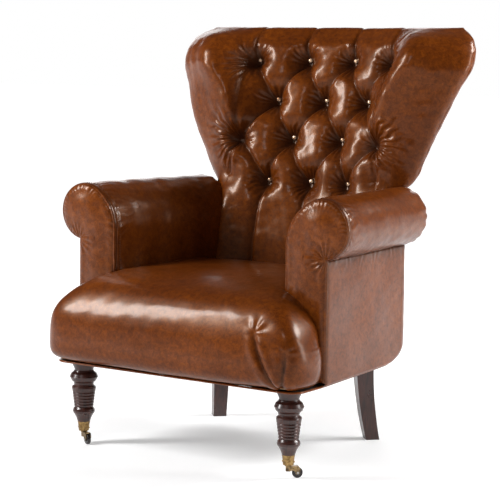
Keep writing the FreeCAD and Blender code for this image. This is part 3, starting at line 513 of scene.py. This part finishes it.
def arm_leather(side):
    """One arm's cover from the seat over the scroll to its underside, gathered at both ends."""
    outline = scroll_outline(330)
    inner = np.array([[ROLL_X + 8.0, ROLL_Z - ROLL_R + 2.0], [ROLL_X - 6.0, ROLL_Z - ROLL_R + 6.0]])
    outline = np.concatenate([outline, inner])
    turn, roundness, front_y = 52.0, 2.3, ARM_START - 4.5
    pivot = np.array([ROLL_X - 12, ROLL_Z - 6])
    centre = np.array([ROLL_X - 30, ROLL_Z - 60])
    ys = np.concatenate([[front_y], np.linspace(ARM_START - 3, ARM_REAR - turn, 150),
                         ARM_REAR - turn + turn * np.sin(np.linspace(0.04, math.pi / 2, 30))])
    rows = []
    for y in ys:
        past_turn = max((y - (ARM_REAR - turn)) / turn, 0.0)
        k = max(1 - past_turn ** roundness, 0.0) ** (1 / roundness)
        q = pivot + (outline - pivot) * max(k, 0.02)
        tuck = 4.0 * math.exp(-(y - front_y) / 3.0)
        way = (q - centre) / np.linalg.norm(q - centre, axis=1, keepdims=True)
        q = q - way * tuck
        rows.append(np.stack([q[:, 0] + arm_shift(y), np.full(len(q), y), q[:, 1]], -1))
    grid = np.array(rows)
    normal = grid_normals(grid)
    inside = np.array([ROLL_X - 20, 300.0, ROLL_Z - 30])
    if np.mean(np.sum(normal * (grid - inside) * np.array([1, 0, 1]), -1)) < 0:
        normal = -normal
    y = grid[..., 1]
    lift = 0.9 * soft_noise(grid, 130, 31 + side) + 0.25 * soft_noise(grid, 38, 33 + side)
    front = np.exp(-np.maximum(y - 62, 0) / 34)
    around = np.arctan2(grid[..., 2] - ROLL_Z, grid[..., 0] - ROLL_X - arm_shift(y))
    wander = soft_noise(grid, 60, 35)
    lift += 0.8 * np.sin(around * 26 + 2.2 * wander) * front * smoothstep(64, 76, y)
    rear = smoothstep(ARM_REAR - 75, ARM_REAR - 20, y)
    lift += 1.3 * np.sin(around * 17 + 1.5 * soft_noise(grid, 60, 36)) * rear
    under = np.exp(-np.abs(around + 1.36) / 0.22)
    lift += 1.2 * np.sin(y * 0.21 + 1.4 * soft_noise(grid, 50, 37)) * under
    groove = np.exp(-(np.abs(y - STITCH_Y) / 1.6) ** 2)
    lift -= 1.2 * groove
    edge = smoothstep(0, 3, np.arange(len(ys)))[:, None]
    grid = grid + normal * (lift * edge)[..., None]
    grid[..., 0] *= side
    # painted shade at the gathered front, in the stitch groove and under the scroll
    dark = front * 0.25 + groove * 0.3 + under * 0.55
    return grid_piece(SIDES[side] + "_arm_leather", grid, dark, flip=side < 0)


def arm_front(side):
    """Padded facing: full in the scroll, rolled over at its edge to meet the arm."""
    foot, edge_width, edge_rise = 214.0, 17.0, 14.0
    around = scroll_outline(foot, 90, 50, 150)
    under_roll = ROLL_Z - math.sqrt(ROLL_R**2 - (SIDE_X - ROLL_X)**2)
    down = np.stack([np.full(90, SIDE_X), np.linspace(under_roll, foot, 90)], 1)[1:]
    base = np.stack([np.linspace(SIDE_X, INNER_X, 26), np.full(26, foot)], 1)[1:-1]
    outline = np.concatenate([around, down, base])
    centre = np.array([304.0, 500.0])
    rings = 1 - np.linspace(0, 1, 74)[:-1] ** 1.25
    grid2 = centre + (outline[None] - centre) * rings[:, None, None]
    flat = grid2.reshape(-1, 2)
    close = np.full(len(flat), 1e3)
    closed = np.concatenate([outline, outline[:1]])
    for a, b in zip(closed, closed[1:]):
        close = np.minimum(close, segment_distance(flat, a, b)[0])
    close = close.reshape(grid2.shape[:2])
    edge = np.clip(close / edge_width, 0, 1)
    y = ARM_START - 3.0 - edge_rise * np.sqrt(1 - (1 - edge) ** 2)
    scroll = np.hypot(grid2[..., 0] - ROLL_X + 4, grid2[..., 1] - ROLL_Z)
    y = y - 4.0 * smoothstep(8, 52, close) - 5.0 * np.exp(-(scroll / 44) ** 2)
    grid = np.stack([grid2[..., 0] + arm_shift(ARM_FRONT), y, grid2[..., 1]], -1)
    x, z = grid[..., 0], grid[..., 2]
    # puckers where the scroll meets the upright, then gathers round the scroll's edge
    r, angle = polar(x - 358, z - 494)
    pucker = np.sin(angle * 15 + 1.3 * soft_noise(grid, 50, 51)) * smoothstep(4, 14, r)
    lift = (1.3 if side > 0 else 0.5) * pucker * (1 - smoothstep(22, 62, r))
    _, angle = polar(x - ROLL_X, z - ROLL_Z)
    gather = np.sin(angle * 34 + 1.6 * soft_noise(grid, 45, 52))
    lift += 0.8 * gather * np.exp(-np.maximum(close - 3, 0) / 9) * (z > 480)
    lift += 1.1 * soft_noise(grid, 90, 53 + side) + 0.35 * soft_noise(grid, 30, 54)
    lift *= smoothstep(0, 6, close)
    grid[..., 1] -= lift
    grid[..., 0] *= side
    # painted shade along the facing's rolled rim, where it meets the arm
    return grid_piece(SIDES[side] + "_arm_front_leather", grid, np.exp(-close / 3.0) * 0.6,
                      wrap=True, flip=side < 0)


def side_line():
    """Plan line of the outside panel, from the facing round the rear corner, and its normals."""
    turn_y = BACK_BASE_Y - CORNER_R
    ys = np.linspace(ARM_START - 3.5, turn_y, 130)
    straight = np.stack([SIDE_X + arm_shift(ys), ys], 1)
    turn_x = SIDE_X + arm_shift(turn_y) - CORNER_R
    angles = np.linspace(0, math.pi / 2, 40)[1:]
    turn = np.stack([turn_x + CORNER_R * np.cos(angles), turn_y + CORNER_R * np.sin(angles)], 1)
    line = np.concatenate([straight, turn, [[turn_x - 4.0, BACK_BASE_Y - 0.5]]])
    return line, plan_normals(np.gradient(line, axis=0))


def roll_under(line):
    """How far the outside leather rolls under at its foot: most at the rear corner."""
    run = path_lengths(line)
    corner = run[-1] - 4.0 - 0.55 * CORNER_R * math.pi / 2
    return 7.0 + 38.0 * np.exp(-((run - corner) / 52.0) ** 2)


def foot_line(offset):
    """Right half of the lower edge in plan, from the front's middle to the rear's."""
    line, normal = side_line()
    side = line - normal * (roll_under(line) + offset)[:, None]
    front_y, turn_x, r = -53.0 + offset, 322 - offset, 32.0
    front = [(0, front_y), (160, front_y)]
    turn = [(turn_x + r * math.cos(a), front_y + r + r * math.sin(a))
            for a in np.linspace(-math.pi / 2, 0, 14)]
    rear = [(130, BACK_BASE_Y - 6 - offset), (0, BACK_BASE_Y - 5 - offset)]
    return np.concatenate([front, turn, side, rear])


def welt():
    """The thin roll of leather along the whole lower edge."""
    half, around, sides = foot_line(3.0), 420, 12
    steps = path_lengths(half)
    at = np.linspace(0, steps[-1], around)
    right = np.stack([np.interp(at, steps, half[:, 0]), np.interp(at, steps, half[:, 1])], 1)
    loop = np.concatenate([right, right[-2:0:-1] * (-1, 1)])
    normal = plan_normals(np.roll(loop, -1, 0) - np.roll(loop, 1, 0))
    rows = []
    for angle in np.arange(sides) * (2 * math.pi / sides):
        p = loop + normal * WELT_R * math.cos(angle)
        z = np.full(len(p), WELT_Z + WELT_R * math.sin(angle))
        rows.append(np.stack([p[:, 0], p[:, 1], z], -1))
    return grid_piece("bottom_welt_leather", np.array(rows + rows[:1]), wrap=True)


def under_cloth():
    """The cloth stretched under the seat, sagging a little."""
    half, across = foot_line(3.5), 41
    half = half[np.concatenate([[True], np.diff(np.maximum.accumulate(half[:, 1])) > 0.05])]
    s = np.linspace(-1, 1, across)
    grid = np.array([np.stack([x * s, np.full(across, y), np.full(across, UNDER_CLOTH_Z)], -1)
                     for x, y in half[1:]])
    grid[..., 2] -= 0.9 + 0.8 * soft_noise(grid, 120, 71)
    return grid_piece("under_cloth", grid)


def arm_side(side):
    """One outside panel, rolled under at its foot and tucked in at its top and front."""
    line, normal = side_line()
    under = roll_under(line)
    rows = []
    for a in np.linspace(math.pi / 2, 0, 22):
        p = line - normal * (under * (1 - math.cos(a)))[:, None]
        rows.append(np.stack([p[:, 0], p[:, 1], PANEL_FOOT + under * (1 - math.sin(a))], -1))
    for t in np.linspace(0, 1, 100)[1:]:
        z = (PANEL_FOOT + under) * (1 - t) + (PANEL_TOP - 3) * t
        rows.append(np.stack([line[:, 0], line[:, 1], z], -1))
    p = line - normal * 2.5
    rows.append(np.stack([p[:, 0], p[:, 1], np.full(len(line), PANEL_TOP)], -1))
    grid = np.array(rows)
    outward = np.concatenate([normal, np.zeros((len(normal), 1))], 1)[None]
    y, z = grid[..., 1], grid[..., 2]
    lift = 1.2 * np.sin(np.clip((z - PANEL_FOOT) / (PANEL_TOP - PANEL_FOOT), 0, 1) * math.pi)
    lift = lift + 0.7 * soft_noise(grid, 170, 61 + side) + 0.15 * soft_noise(grid, 45, 62)
    near_top = np.exp(-(PANEL_TOP - z) / 16)
    lift += 0.7 * np.sin(y * 0.15 + 2.6 * soft_noise(grid, 60, 63)) * near_top
    lift -= 3.5 * np.exp(-np.maximum(y - (ARM_START - 3.5), 0) / 3.0)
    grid = grid + outward * lift[..., None]
    grid[..., 0] *= side
    # painted shade where the panel tucks under the scroll and where it meets the facing
    dark = near_top * 0.75 + np.exp(-np.maximum(y - 60, 0) / 4.5) * 0.95
    return grid_piece(SIDES[side] + "_arm_side_leather", grid, dark, flip=side > 0)


def capsules(name, places, ways, length, radius):
    """A row of stitches as one mesh of small rounded rods."""
    sides, tip_r = 8, 0.02
    rings = [(-0.5, 0.0), (-0.42, 0.75), (-0.2, 1.0), (0.2, 1.0), (0.42, 0.75), (0.5, 0.0)]
    points, faces = [], []
    template = grid_faces(len(rings), sides, wrap=True)
    turns = [k * 2 * math.pi / sides for k in range(sides)]
    for place, way in zip(places, ways):
        way = way / np.linalg.norm(way)
        a = np.cross(way, [0.31, 0.17, 0.93])
        a /= np.linalg.norm(a)
        b = np.cross(way, a)
        faces.append(template + len(points) * sides * len(rings))
        spokes = [a * math.cos(k) + b * math.sin(k) for k in turns]
        points.append([place + way * (s * length) + spoke * (r * radius + tip_r)
                       for s, r in rings for spoke in spokes])
    return mesh_from(name, np.array(points).reshape(-1, 3), np.concatenate(faces))


def arm_stitches(side):
    """The topstitching that follows the front edge of one arm."""
    outline = scroll_outline(340)
    steps = path_lengths(outline)
    at = np.arange(4, steps[-1] - 4, STITCH_PITCH)
    x, z = np.interp(at, steps, outline[:, 0]), np.interp(at, steps, outline[:, 1])
    dx, dz = np.gradient(x), np.gradient(z)
    size = np.hypot(dx, dz)
    out = np.stack([-dz / size, dx / size], 1)
    y = np.full(len(x), STITCH_Y)
    sunk_x, sunk_z = out[:, 0] * 0.5, out[:, 1] * 0.5
    places = np.stack([(x + arm_shift(y)) * side - sunk_x * side, y, z - sunk_z], 1)
    ways = np.stack([dx * side, 0 * dx, dz], 1)
    return capsules(SIDES[side] + "_arm_stitches", places, ways, STITCH_LENGTH, STITCH_R)


# ---- materials ----------------------------------------------------------------------------------

def material(name):
    """A new material: itself, its nodes and links, its shader, and the piece's own coordinates."""
    mat = bpy.data.materials.new(name)
    mat.use_nodes = True
    nodes = mat.node_tree.nodes
    coords = nodes.new("ShaderNodeTexCoord").outputs["Object"]
    return mat, nodes, mat.node_tree.links, nodes["Principled BSDF"], coords


def noise(nodes, links, coords, scale, detail=4.0, rough=0.55, distortion=0.0):
    """A noise pattern on the piece's own coordinates."""
    node = nodes.new("ShaderNodeTexNoise")
    node.inputs["Scale"].default_value = scale
    node.inputs["Detail"].default_value = detail
    node.inputs["Roughness"].default_value = rough
    node.inputs["Distortion"].default_value = distortion
    links.new(coords, node.inputs["Vector"])
    return node.outputs["Fac"]


def ramp(nodes, links, value, stops):
    """Colours from a value, by (place, colour) stops."""
    node = nodes.new("ShaderNodeValToRGB")
    links.new(value, node.inputs["Fac"])
    elements = node.color_ramp.elements
    while len(elements) < len(stops):
        elements.new(0.5)
    for element, (at, colour) in zip(elements, stops):
        element.position = at
        element.color = (*colour, 1)
    return node.outputs["Color"]


def mix(nodes, links, fac, a, b, mode="MIX"):
    """Two colours mixed; the share and each colour may be fixed or linked."""
    node = nodes.new("ShaderNodeMix")
    node.data_type = "RGBA"
    node.blend_type = mode
    if isinstance(fac, float):
        node.inputs[0].default_value = fac
    else:
        links.new(fac, node.inputs[0])
    for socket, value in ((6, a), (7, b)):
        if isinstance(value, tuple):
            node.inputs[socket].default_value = (*value, 1)
        else:
            links.new(value, node.inputs[socket])
    return node.outputs[2]


def ranged(nodes, links, value, low, high, out_low, out_high):
    """A value moved from one range to another."""
    node = nodes.new("ShaderNodeMapRange")
    links.new(value, node.inputs["Value"])
    keys = ("From Min", "From Max", "To Min", "To Max")
    for key, number in zip(keys, (low, high, out_low, out_high)):
        node.inputs[key].default_value = number
    return node.outputs["Result"]


def bump(nodes, links, shader, heights):
    """Stacks bump layers given as (value, strength, distance)."""
    last = None
    for value, strength, distance in heights:
        node = nodes.new("ShaderNodeBump")
        node.inputs["Strength"].default_value = strength
        node.inputs["Distance"].default_value = distance
        links.new(value, node.inputs["Height"])
        if last:
            links.new(last, node.inputs["Normal"])
        last = node.outputs["Normal"]
    links.new(last, shader.inputs["Normal"])


TAN = (0.205, 0.049, 0.0038)
BROWN = (0.118, 0.0255, 0.0022)
DEEP_BROWN = (0.060, 0.0125, 0.0014)
# near-black brown, painted into creases, seams and tuck-ins as shade
PAINTED_SHADE_COLOUR = (0.022, 0.0065, 0.003)
WHITE = (1.0, 1.0, 1.0)
BLACK_CLOTH = ((0.012, 0.012, 0.012), (0.035, 0.033, 0.03), 0.9, 900.0)


def leather(name, light=1.0, painted_shade=True):
    """Waxed brown leather: mottled and flecked, with painted shade in its creases and hollows, finely
    lined and pored.
    """
    mat, nodes, links, shader, coords = material(name)
    broad = noise(nodes, links, coords, 6.0, 4.0, 0.55, 0.4)
    mottle = noise(nodes, links, coords, 88.0, 7.0, 0.72, 0.5)
    speck = noise(nodes, links, coords, 260.0, 3.0, 0.6)
    # light scales every tone; above 1 it paints light onto the whole piece
    tan, mid, deep = (tuple(c * light for c in tone) for tone in (TAN, BROWN, DEEP_BROWN))
    base = ramp(nodes, links, mottle, [(0.28, deep), (0.46, mid), (0.72, tan)])
    large = ramp(nodes, links, broad, [(0.34, (0.66, 0.60, 0.56)), (0.62, WHITE)])
    colour = mix(nodes, links, 0.8, base, large, "MULTIPLY")
    flecks = ramp(nodes, links, speck, [(0.36, (0.55, 0.5, 0.5)), (0.56, (1.08, 1.05, 1.0))])
    colour = mix(nodes, links, 0.30, colour, flecks, "MULTIPLY")
    # painted shade: each piece's shade values darken its colour towards near-black brown
    if painted_shade:
        attribute = nodes.new("ShaderNodeAttribute")
        attribute.attribute_name = "painted_shade"
        shade = ranged(nodes, links, attribute.outputs["Fac"], 0.05, 0.95, 0.0, 0.86)
        colour = mix(nodes, links, shade, colour, PAINTED_SHADE_COLOUR)
    links.new(colour, shader.inputs["Base Color"])
    gloss = ranged(nodes, links, mottle, 0.3, 0.75, 0.36, 0.26)
    links.new(gloss, shader.inputs["Roughness"])
    shader.inputs["Specular IOR Level"].default_value = 0.24
    shader.inputs["Specular Tint"].default_value = (1.0, 0.62, 0.38, 1)
    shader.inputs["Coat Weight"].default_value = 0.16
    shader.inputs["Coat Roughness"].default_value = 0.14
    grain = nodes.new("ShaderNodeTexVoronoi")
    grain.feature = "DISTANCE_TO_EDGE"
    grain.inputs["Scale"].default_value = 620.0
    links.new(coords, grain.inputs["Vector"])
    pores = ranged(nodes, links, grain.outputs["Distance"], 0.0, 0.22, 0.0, 1.0)
    lines = noise(nodes, links, coords, 95.0, 8.0, 0.65, 1.6)
    soft = noise(nodes, links, coords, 24.0, 4.0, 0.5, 0.4)
    bump(nodes, links, shader,
         [(soft, 0.10, 0.0012), (lines, 0.22, 0.0005), (pores, 0.14, 0.00020)])
    return mat


def wood(name, dark, light, rough, coat, scale=1.0):
    """Straight-grained wood, a little worn."""
    mat, nodes, links, shader, coords = material(name)
    stretch = nodes.new("ShaderNodeMapping")
    stretch.inputs["Scale"].default_value = (1.0, 1.0, 0.08)
    links.new(coords, stretch.inputs["Vector"])
    grain = noise(nodes, links, stretch.outputs["Vector"], 160.0 * scale, 6.0, 0.6, 1.2)
    pores = noise(nodes, links, stretch.outputs["Vector"], 620.0 * scale, 2.0)
    wear = noise(nodes, links, coords, 30.0, 5.0, 0.6)
    colour = ramp(nodes, links, grain, [(0.35, dark), (0.65, light)])
    worn = ramp(nodes, links, wear, [(0.4, (0.75, 0.72, 0.7)), (0.6, WHITE)])
    colour = mix(nodes, links, 0.7, colour, worn, "MULTIPLY")
    links.new(colour, shader.inputs["Base Color"])
    links.new(ranged(nodes, links, wear, 0.3, 0.7, rough, rough + 0.14), shader.inputs["Roughness"])
    shader.inputs["Coat Weight"].default_value = coat
    shader.inputs["Coat Roughness"].default_value = 0.12
    bump(nodes, links, shader, [(grain, 0.18, 0.0006), (pores, 0.10, 0.0003)])
    return mat


def metal(name, bright, dull, rough):
    """Tarnished metal: duller in patches, with fine scratches."""
    mat, nodes, links, shader, coords = material(name)
    tarnish = noise(nodes, links, coords, 120.0, 6.0, 0.65, 0.5)
    scratches = noise(nodes, links, coords, 900.0, 3.0)
    links.new(ramp(nodes, links, tarnish, [(0.38, dull), (0.60, bright)]), shader.inputs["Base Color"])
    shader.inputs["Metallic"].default_value = 1.0
    links.new(ranged(nodes, links, tarnish, 0.3, 0.7, rough + 0.2, rough), shader.inputs["Roughness"])
    bump(nodes, links, shader, [(scratches, 0.12, 0.0002)])
    return mat


def plain(name, dark, light, rough, weave=0.0):
    """Cloth, wadding, card, thread or moulded wheels: a fine two-tone surface, woven where asked."""
    mat, nodes, links, shader, coords = material(name)
    fine = noise(nodes, links, coords, 300.0, 5.0, 0.6)
    broad = noise(nodes, links, coords, 14.0, 4.0)
    colour = ramp(nodes, links, fine, [(0.35, dark), (0.65, light)])
    soil = ramp(nodes, links, broad, [(0.35, (0.82, 0.8, 0.78)), (0.6, WHITE)])
    links.new(mix(nodes, links, 0.8, colour, soil, "MULTIPLY"), shader.inputs["Base Color"])
    rougher = min(rough + 0.12, 1.0)
    links.new(ranged(nodes, links, fine, 0.3, 0.7, rough, rougher), shader.inputs["Roughness"])
    layers = [(fine, 0.2, 0.0003)]
    if weave:
        wave = nodes.new("ShaderNodeTexWave")
        wave.inputs["Scale"].default_value = weave
        wave.inputs["Distortion"].default_value = 0.6
        links.new(coords, wave.inputs["Vector"])
        layers.append((wave.outputs["Fac"], 0.35, 0.0004))
    bump(nodes, links, shader, layers)
    return mat


def dress(materials):
    """Gives every CAD node the material that fits what it is."""
    for name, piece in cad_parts.items():
        for words, mat in materials:
            if any(word in name for word in words):
                piece.data.materials.clear()
                piece.data.materials.append(mat)
                break


# ---- build --------------------------------------------------------------------------------------

hide = leather("waxed_leather")
# the welt takes the same leather 1.3 times lighter and without painted shade: painted light that lifts
# the thin welt out of the shade at the chair's lower edge
welt_hide_painted_light = leather("welt_leather", 1.3, False)
lining = plain("lining_cloth", *BLACK_CLOTH)
thread = plain("thread", (0.075, 0.026, 0.009), (0.16, 0.06, 0.02), 0.6)
materials = [
    (("button_twines",), plain("twine", (0.4, 0.33, 0.2), (0.6, 0.5, 0.33), 0.7)),
    (("back_buttons",), metal("button_bronze", (0.62, 0.44, 0.30), (0.22, 0.11, 0.06), 0.26)),
    (("caster_wheel",), plain("wheel_black", (0.012, 0.009, 0.008), (0.03, 0.022, 0.02), 0.18)),
    (("caster_axle", "leg_bolts", "seat_springs", "spring_clips"),
     metal("steel", (0.52, 0.52, 0.54), (0.30, 0.29, 0.28), 0.3)),
    (("caster_horn",), metal("dark_brass", (0.34, 0.23, 0.11), (0.08, 0.055, 0.035), 0.26)),
    (("caster_cup", "caster_screws"),
     metal("brass", (0.40, 0.26, 0.105), (0.17, 0.10, 0.040), 0.26)),
    (("front_leg", "rear_leg"),
     wood("dark_mahogany", (0.020, 0.0050, 0.0030), (0.062, 0.0145, 0.0078), 0.26, 0.18)),
    (("dust_cover", "spring_cloth", "webbing"), plain("black_cloth", *BLACK_CLOTH)),
    (("cover", "facing", "welt"), leather("plain_leather", 1.0, False)),
    (("_pad",), plain("wadding", (0.62, 0.58, 0.48), (0.80, 0.76, 0.66), 0.95)),
    (("lining",), plain("card", (0.26, 0.19, 0.12), (0.36, 0.27, 0.18), 0.8)),
    (("rail", "post", "upright", "board", "block"),
     wood("beech", (0.36, 0.22, 0.115), (0.50, 0.33, 0.18), 0.55, 0.0, 0.6)),
]
dress(materials)


def finish_piece(piece, mat, replaced=()):
    """Puts a soft piece on the chair, in place of the CAD nodes that it stands for."""
    piece.data.materials.append(mat)
    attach(piece, "chair")
    if replaced:
        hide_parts(*replaced)


finish_piece(seat_leather(), hide, ("seat_cover", "seat_pad"))
finish_piece(back_leather(), hide,
             ("inside_back_cover", "back_pad", "left_wing_pad", "right_wing_pad", "back_top_pad"))
finish_piece(outside_back(), hide, ("outside_back_cover",))
finish_piece(welt(), welt_hide_painted_light, ("bottom_welt",))
finish_piece(under_cloth(), lining, ("dust_cover",))
for side, word in SIDES.items():
    finish_piece(arm_leather(side), hide, (word + "_inside_arm_cover", word + "_inside_arm_pad",
                                           word + "_arm_roll_pad"))
    finish_piece(arm_front(side), hide, (word + "_arm_facing",))
    finish_piece(arm_side(side), hide, (word + "_outside_arm_cover", word + "_outside_arm_lining"))
    finish_piece(arm_stitches(side), thread)


# ---- floor, lights and camera -------------------------------------------------------------------

FLOOR_HALF = 30.0
# name, place, point that it faces, width and height, watts
SOFTBOXES = [
    ("key", (-2.2, -2.1, 2.3), (0, 0, 0.6), (0.6, 1.7), 135),
    ("front_fill", (0.6, -3.6, 3.2), (0, 0, 0.5), (0.7, 0.9), 16),
    ("right_strip", (3.0, 1.3, 1.1), (0, 0, 0.6), (0.7, 1.8), 45),
    ("rear_top", (1.9, 1.7, 2.2), (0.35, 0.1, 0.6), (1.1, 0.8), 80),
    ("backdrop", (-2.2, 3.6, 1.25), (0, 0, 0.7), (3.4, 2.3), 60),
]
# share of the sky's height, from the horizon up, and its colour there
SKY = [(0.035, WHITE), (0.10, (0.20, 0.20, 0.205)), (0.4, (0.06, 0.06, 0.065))]
CAMERA_PLACE = (2.493, -3.637, 0.964)
AZIMUTH, PITCH, ROLL = math.radians(34.71), math.radians(6.396), math.radians(0.70)


def softbox(name, place, target, size, power):
    """A rectangular lamp that faces a point."""
    lamp = bpy.data.lights.new(name, "AREA")
    lamp.shape = "RECTANGLE"
    lamp.size, lamp.size_y = size
    lamp.energy = power
    obj = bpy.data.objects.new(name, lamp)
    bpy.context.scene.collection.objects.link(obj)
    obj.location = place
    obj.rotation_euler = (Vector(target) - obj.location).to_track_quat("-Z", "Y").to_euler()


# the floor glows more with distance, so that it meets the pale horizon without an edge
floor_mat, floor_nodes, floor_links, floor_shader, floor_coords = material("pale_floor")
floor_shader.inputs["Base Color"].default_value = (0.8, 0.8, 0.8, 1)
floor_shader.inputs["Roughness"].default_value = 0.8
floor_shader.inputs["Emission Color"].default_value = (1, 1, 1, 1)
spread = floor_nodes.new("ShaderNodeVectorMath")
spread.operation = "LENGTH"
floor_links.new(floor_coords, spread.inputs[0])
glow = ranged(floor_nodes, floor_links, spread.outputs["Value"], 0.9, 4.0, 0.30, 1.0)
floor_links.new(glow, floor_shader.inputs["Emission Strength"])
floor_mesh = bpy.data.meshes.new("floor")
corners = ((-1, -1), (1, -1), (1, 1), (-1, 1))
floor_mesh.from_pydata([(x * FLOOR_HALF, y * FLOOR_HALF, 0) for x, y in corners], [], [(0, 1, 2, 3)])
floor_mesh.materials.append(floor_mat)
floor = bpy.data.objects.new("floor", floor_mesh)
bpy.context.scene.collection.objects.link(floor)

world = bpy.data.worlds.new("studio")
world.use_nodes = True
sky, sky_links = world.node_tree.nodes, world.node_tree.links
height = sky.new("ShaderNodeSeparateXYZ")
sky_links.new(sky.new("ShaderNodeTexCoord").outputs["Generated"], height.inputs[0])
sky_links.new(ramp(sky, sky_links, height.outputs["Z"], SKY), sky["Background"].inputs["Color"])
sky["Background"].inputs["Strength"].default_value = 1.0
bpy.context.scene.world = world
for box in SOFTBOXES:
    softbox(*box)
bpy.context.scene.view_settings.view_transform = "Standard"

camera = bpy.data.cameras.new("camera")
camera.lens, camera.sensor_width = 129.6, 36.0
eye = bpy.data.objects.new("camera", camera)
bpy.context.scene.collection.objects.link(eye)
forward = Vector((-math.sin(AZIMUTH) * math.cos(PITCH),
                  math.cos(AZIMUTH) * math.cos(PITCH), -math.sin(PITCH)))
level = Vector((math.cos(AZIMUTH), math.sin(AZIMUTH), 0))
upright = level.cross(forward)
right = level * math.cos(ROLL) + upright * math.sin(ROLL)
up = upright * math.cos(ROLL) - level * math.sin(ROLL)
turned = Matrix((right, up, -forward)).transposed().to_4x4()
eye.matrix_world = Matrix.Translation(CAMERA_PLACE) @ turned
bpy.context.scene.camera = eye
